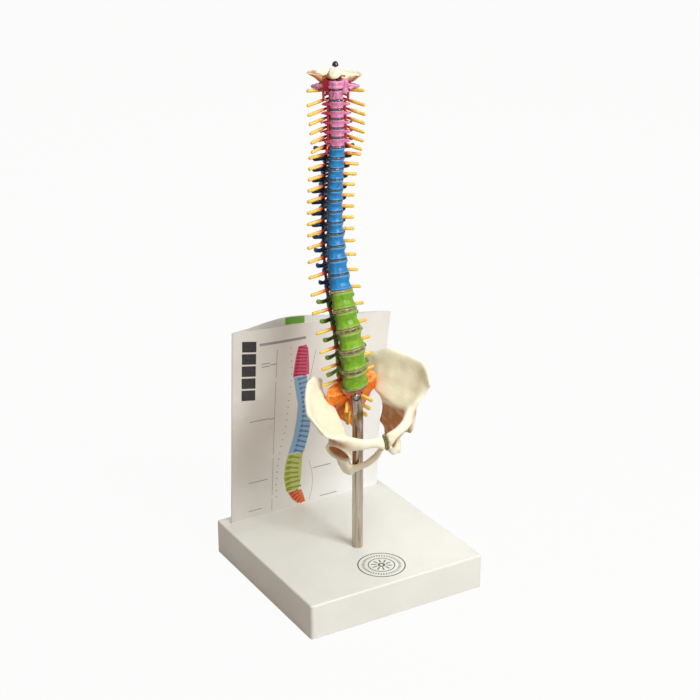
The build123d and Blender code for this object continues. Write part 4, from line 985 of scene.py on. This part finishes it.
def plate_carving(points, facing):
    """A wavy rim, the knob, two blunt bosses below that sit on the first vertebra, and soft lumps."""
    low, high = (np.array(corner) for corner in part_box("occipital_plate"))
    centre, half = (low + high) / 2, (high - low) / 2
    out = (points - centre) / half
    rim = step_up(np.hypot(out[:, 0], out[:, 1]), 0.6, 0.95) * (1 - np.abs(facing[:, 2]))
    waves = lumps(points * [1, 1, 0], 6 * mm, 4.2)
    boss = np.exp(-((np.abs(out[:, 0]) - 0.46) / 0.26) ** 2 - ((out[:, 1] + 0.2) / 0.5) ** 2)
    below = step_up(-facing[:, 2], 0.1, 0.6)
    rough = lumps(points, 5 * mm, 2.9) * 0.3
    knob = 1.7 * np.exp(-(from_knob(points) / (3.6 * mm)) ** 2)
    return (rough - rim * (1.0 + 2.4 * waves) + 4.2 * boss * below + knob) * mm


mesh, points, facing = cast("occipital_plate", "occipital_casting", 0.46 * mm, 3, plate_carving, 4, 9)
# Painted brown shade below and on the right side, kept off the knob and varied by soft lumps.
painted_plate_shade = 0.1 + 0.8 * step_up(-facing[:, 2], -0.6, 0.2) + 0.6 * step_up(-points[:, 0], 0.013, 0.018)
painted_plate_shade = painted_plate_shade * (1 - 0.9 * step_up(-from_knob(points), -6.5 * mm, -4.5 * mm))
mark(mesh, "dark_paint_and_painted_shade", painted_plate_shade * (0.95 + 0.7 * lumps(points, 5 * mm, 5.5)))
piece_from("occipital_casting", mesh, "occipital_plate", bone_paint)

# Core wire: a twisted steel wire through every body, bent to give the column its curve. It shows only
# as the glossy black cap pushed on its upper end.
cap_black, tree, shader = principled("glossy_black_cap", 0.16, coat=0.6)
tone = ramp(tree, speckle(tree, 0.002, 3), [(0.35, (0.008, 0.008, 0.008)), (0.7, (0.02, 0.019, 0.018))])
tree.links.new(tone, shader.inputs["Base Color"])
relief(tree, shader, [(speckle(tree, 0.001, 2), 0.00004)])
mesh = cast("core_wire", "core_wire_and_cap", 0.5 * mm, 2)[0]
piece_from("core_wire_and_cap", mesh, "core_wire", cap_black)

# Floor, lamps and camera: a pale floor, one large soft lamp from the front right, a weaker one from
# the left and one from behind, and the camera where the photograph was taken from.
floor_mesh = bpy.data.meshes.new("floor")
floor_corners = [(12 * x, 12 * y, 0) for x, y in ((-1, -1), (1, -1), (1, 1), (-1, 1))]
floor_mesh.from_pydata(floor_corners, [], [(0, 1, 2, 3)])
floor = bpy.data.objects.new("floor", floor_mesh)
scene.collection.objects.link(floor)


def white_share(tree, mirrored):
    """All of the white for what the camera sees itself, and part of it in mirrors and clear pieces."""
    seen = tree.nodes.new("ShaderNodeLightPath")
    seen_in = tree.nodes.new("ShaderNodeMath")
    seen_in.operation = "MAXIMUM"
    share = tree.nodes.new("ShaderNodeMapRange")
    share.inputs["To Max"].default_value = mirrored
    either = tree.nodes.new("ShaderNodeMath")
    either.operation = "MAXIMUM"
    tree.links.new(seen.outputs["Is Glossy Ray"], seen_in.inputs[0])
    tree.links.new(seen.outputs["Is Transmission Ray"], seen_in.inputs[1])
    tree.links.new(seen_in.outputs[0], share.inputs["Value"])
    tree.links.new(seen.outputs["Is Camera Ray"], either.inputs[0])
    tree.links.new(share.outputs["Result"], either.inputs[1])
    return either.outputs[0]


floor_white = bpy.data.materials.new("pale_floor")
floor_white.use_nodes = True
tree = floor_white.node_tree
shader = tree.nodes["Principled BSDF"]
shader.inputs["Base Color"].default_value = (0.50, 0.44, 0.40, 1)
shader.inputs["Roughness"].default_value = 0.9
glow = tree.nodes.new("ShaderNodeEmission")
glow.inputs["Color"].default_value = (1, 1, 1, 1)
whole = tree.nodes.new("ShaderNodeMath")
whole.operation = "MULTIPLY"
whole.inputs[1].default_value = 0.96
mix = tree.nodes.new("ShaderNodeMixShader")
tree.links.new(white_share(tree, 0.5), whole.inputs[0])
tree.links.new(whole.outputs[0], mix.inputs[0])
tree.links.new(shader.outputs[0], mix.inputs[1])
tree.links.new(glow.outputs[0], mix.inputs[2])
tree.links.new(mix.outputs[0], tree.nodes["Material Output"].inputs["Surface"])
floor_mesh.materials.append(floor_white)

world = bpy.data.worlds.new("studio")
scene.world = world
world.use_nodes = True
tree = world.node_tree
sky_light = tree.nodes["Background"]
sky_light.inputs["Color"].default_value = (1.0, 0.87, 0.78, 1)
sky_light.inputs["Strength"].default_value = 0.32
backdrop = tree.nodes.new("ShaderNodeBackground")
backdrop.inputs["Color"].default_value = (1, 1, 1, 1)
backdrop.inputs["Strength"].default_value = 0.98
mix = tree.nodes.new("ShaderNodeMixShader")
tree.links.new(white_share(tree, 0.25), mix.inputs[0])
tree.links.new(sky_light.outputs[0], mix.inputs[1])
tree.links.new(backdrop.outputs[0], mix.inputs[2])
tree.links.new(mix.outputs[0], tree.nodes["World Output"].inputs["Surface"])

middle = Vector((0, 0, 0.24))


def lamp(name, way, distance, size, power, tint):
    """A square soft lamp that faces the object."""
    light = bpy.data.lights.new(name, "AREA")
    light.size = size
    light.energy = power
    light.color = tint
    holder = bpy.data.objects.new(name, light)
    scene.collection.objects.link(holder)
    holder.location = middle + Vector(way).normalized() * distance
    holder.rotation_euler = (-Vector(way)).to_track_quat("-Z", "Y").to_euler()


lamp("key_lamp", (0.30, -1.0, 0.76), 1.7, 0.8, 25.5, (0.96, 1.0, 1.0))
lamp("fill_lamp", (-0.4, -0.7, 1.1), 2.2, 1.2, 10, (1.0, 0.95, 0.88))
lamp("back_lamp", (0.7, 1.0, 0.8), 2.2, 1.4, 11, (1.0, 0.96, 0.92))

lens = bpy.data.cameras.new("camera")
lens.lens = 76.75
lens.sensor_width = 36
lens.clip_end = 50
camera = bpy.data.objects.new("camera", lens)
scene.collection.objects.link(camera)
camera.location = (-0.63018, -1.07067, 0.70574)
target = Vector((0.00388, 0, 0.22077))
camera.rotation_euler = (target - camera.location).to_track_quat("-Z", "Y").to_euler()
scene.camera = camera
scene.view_settings.view_transform = "Standard"
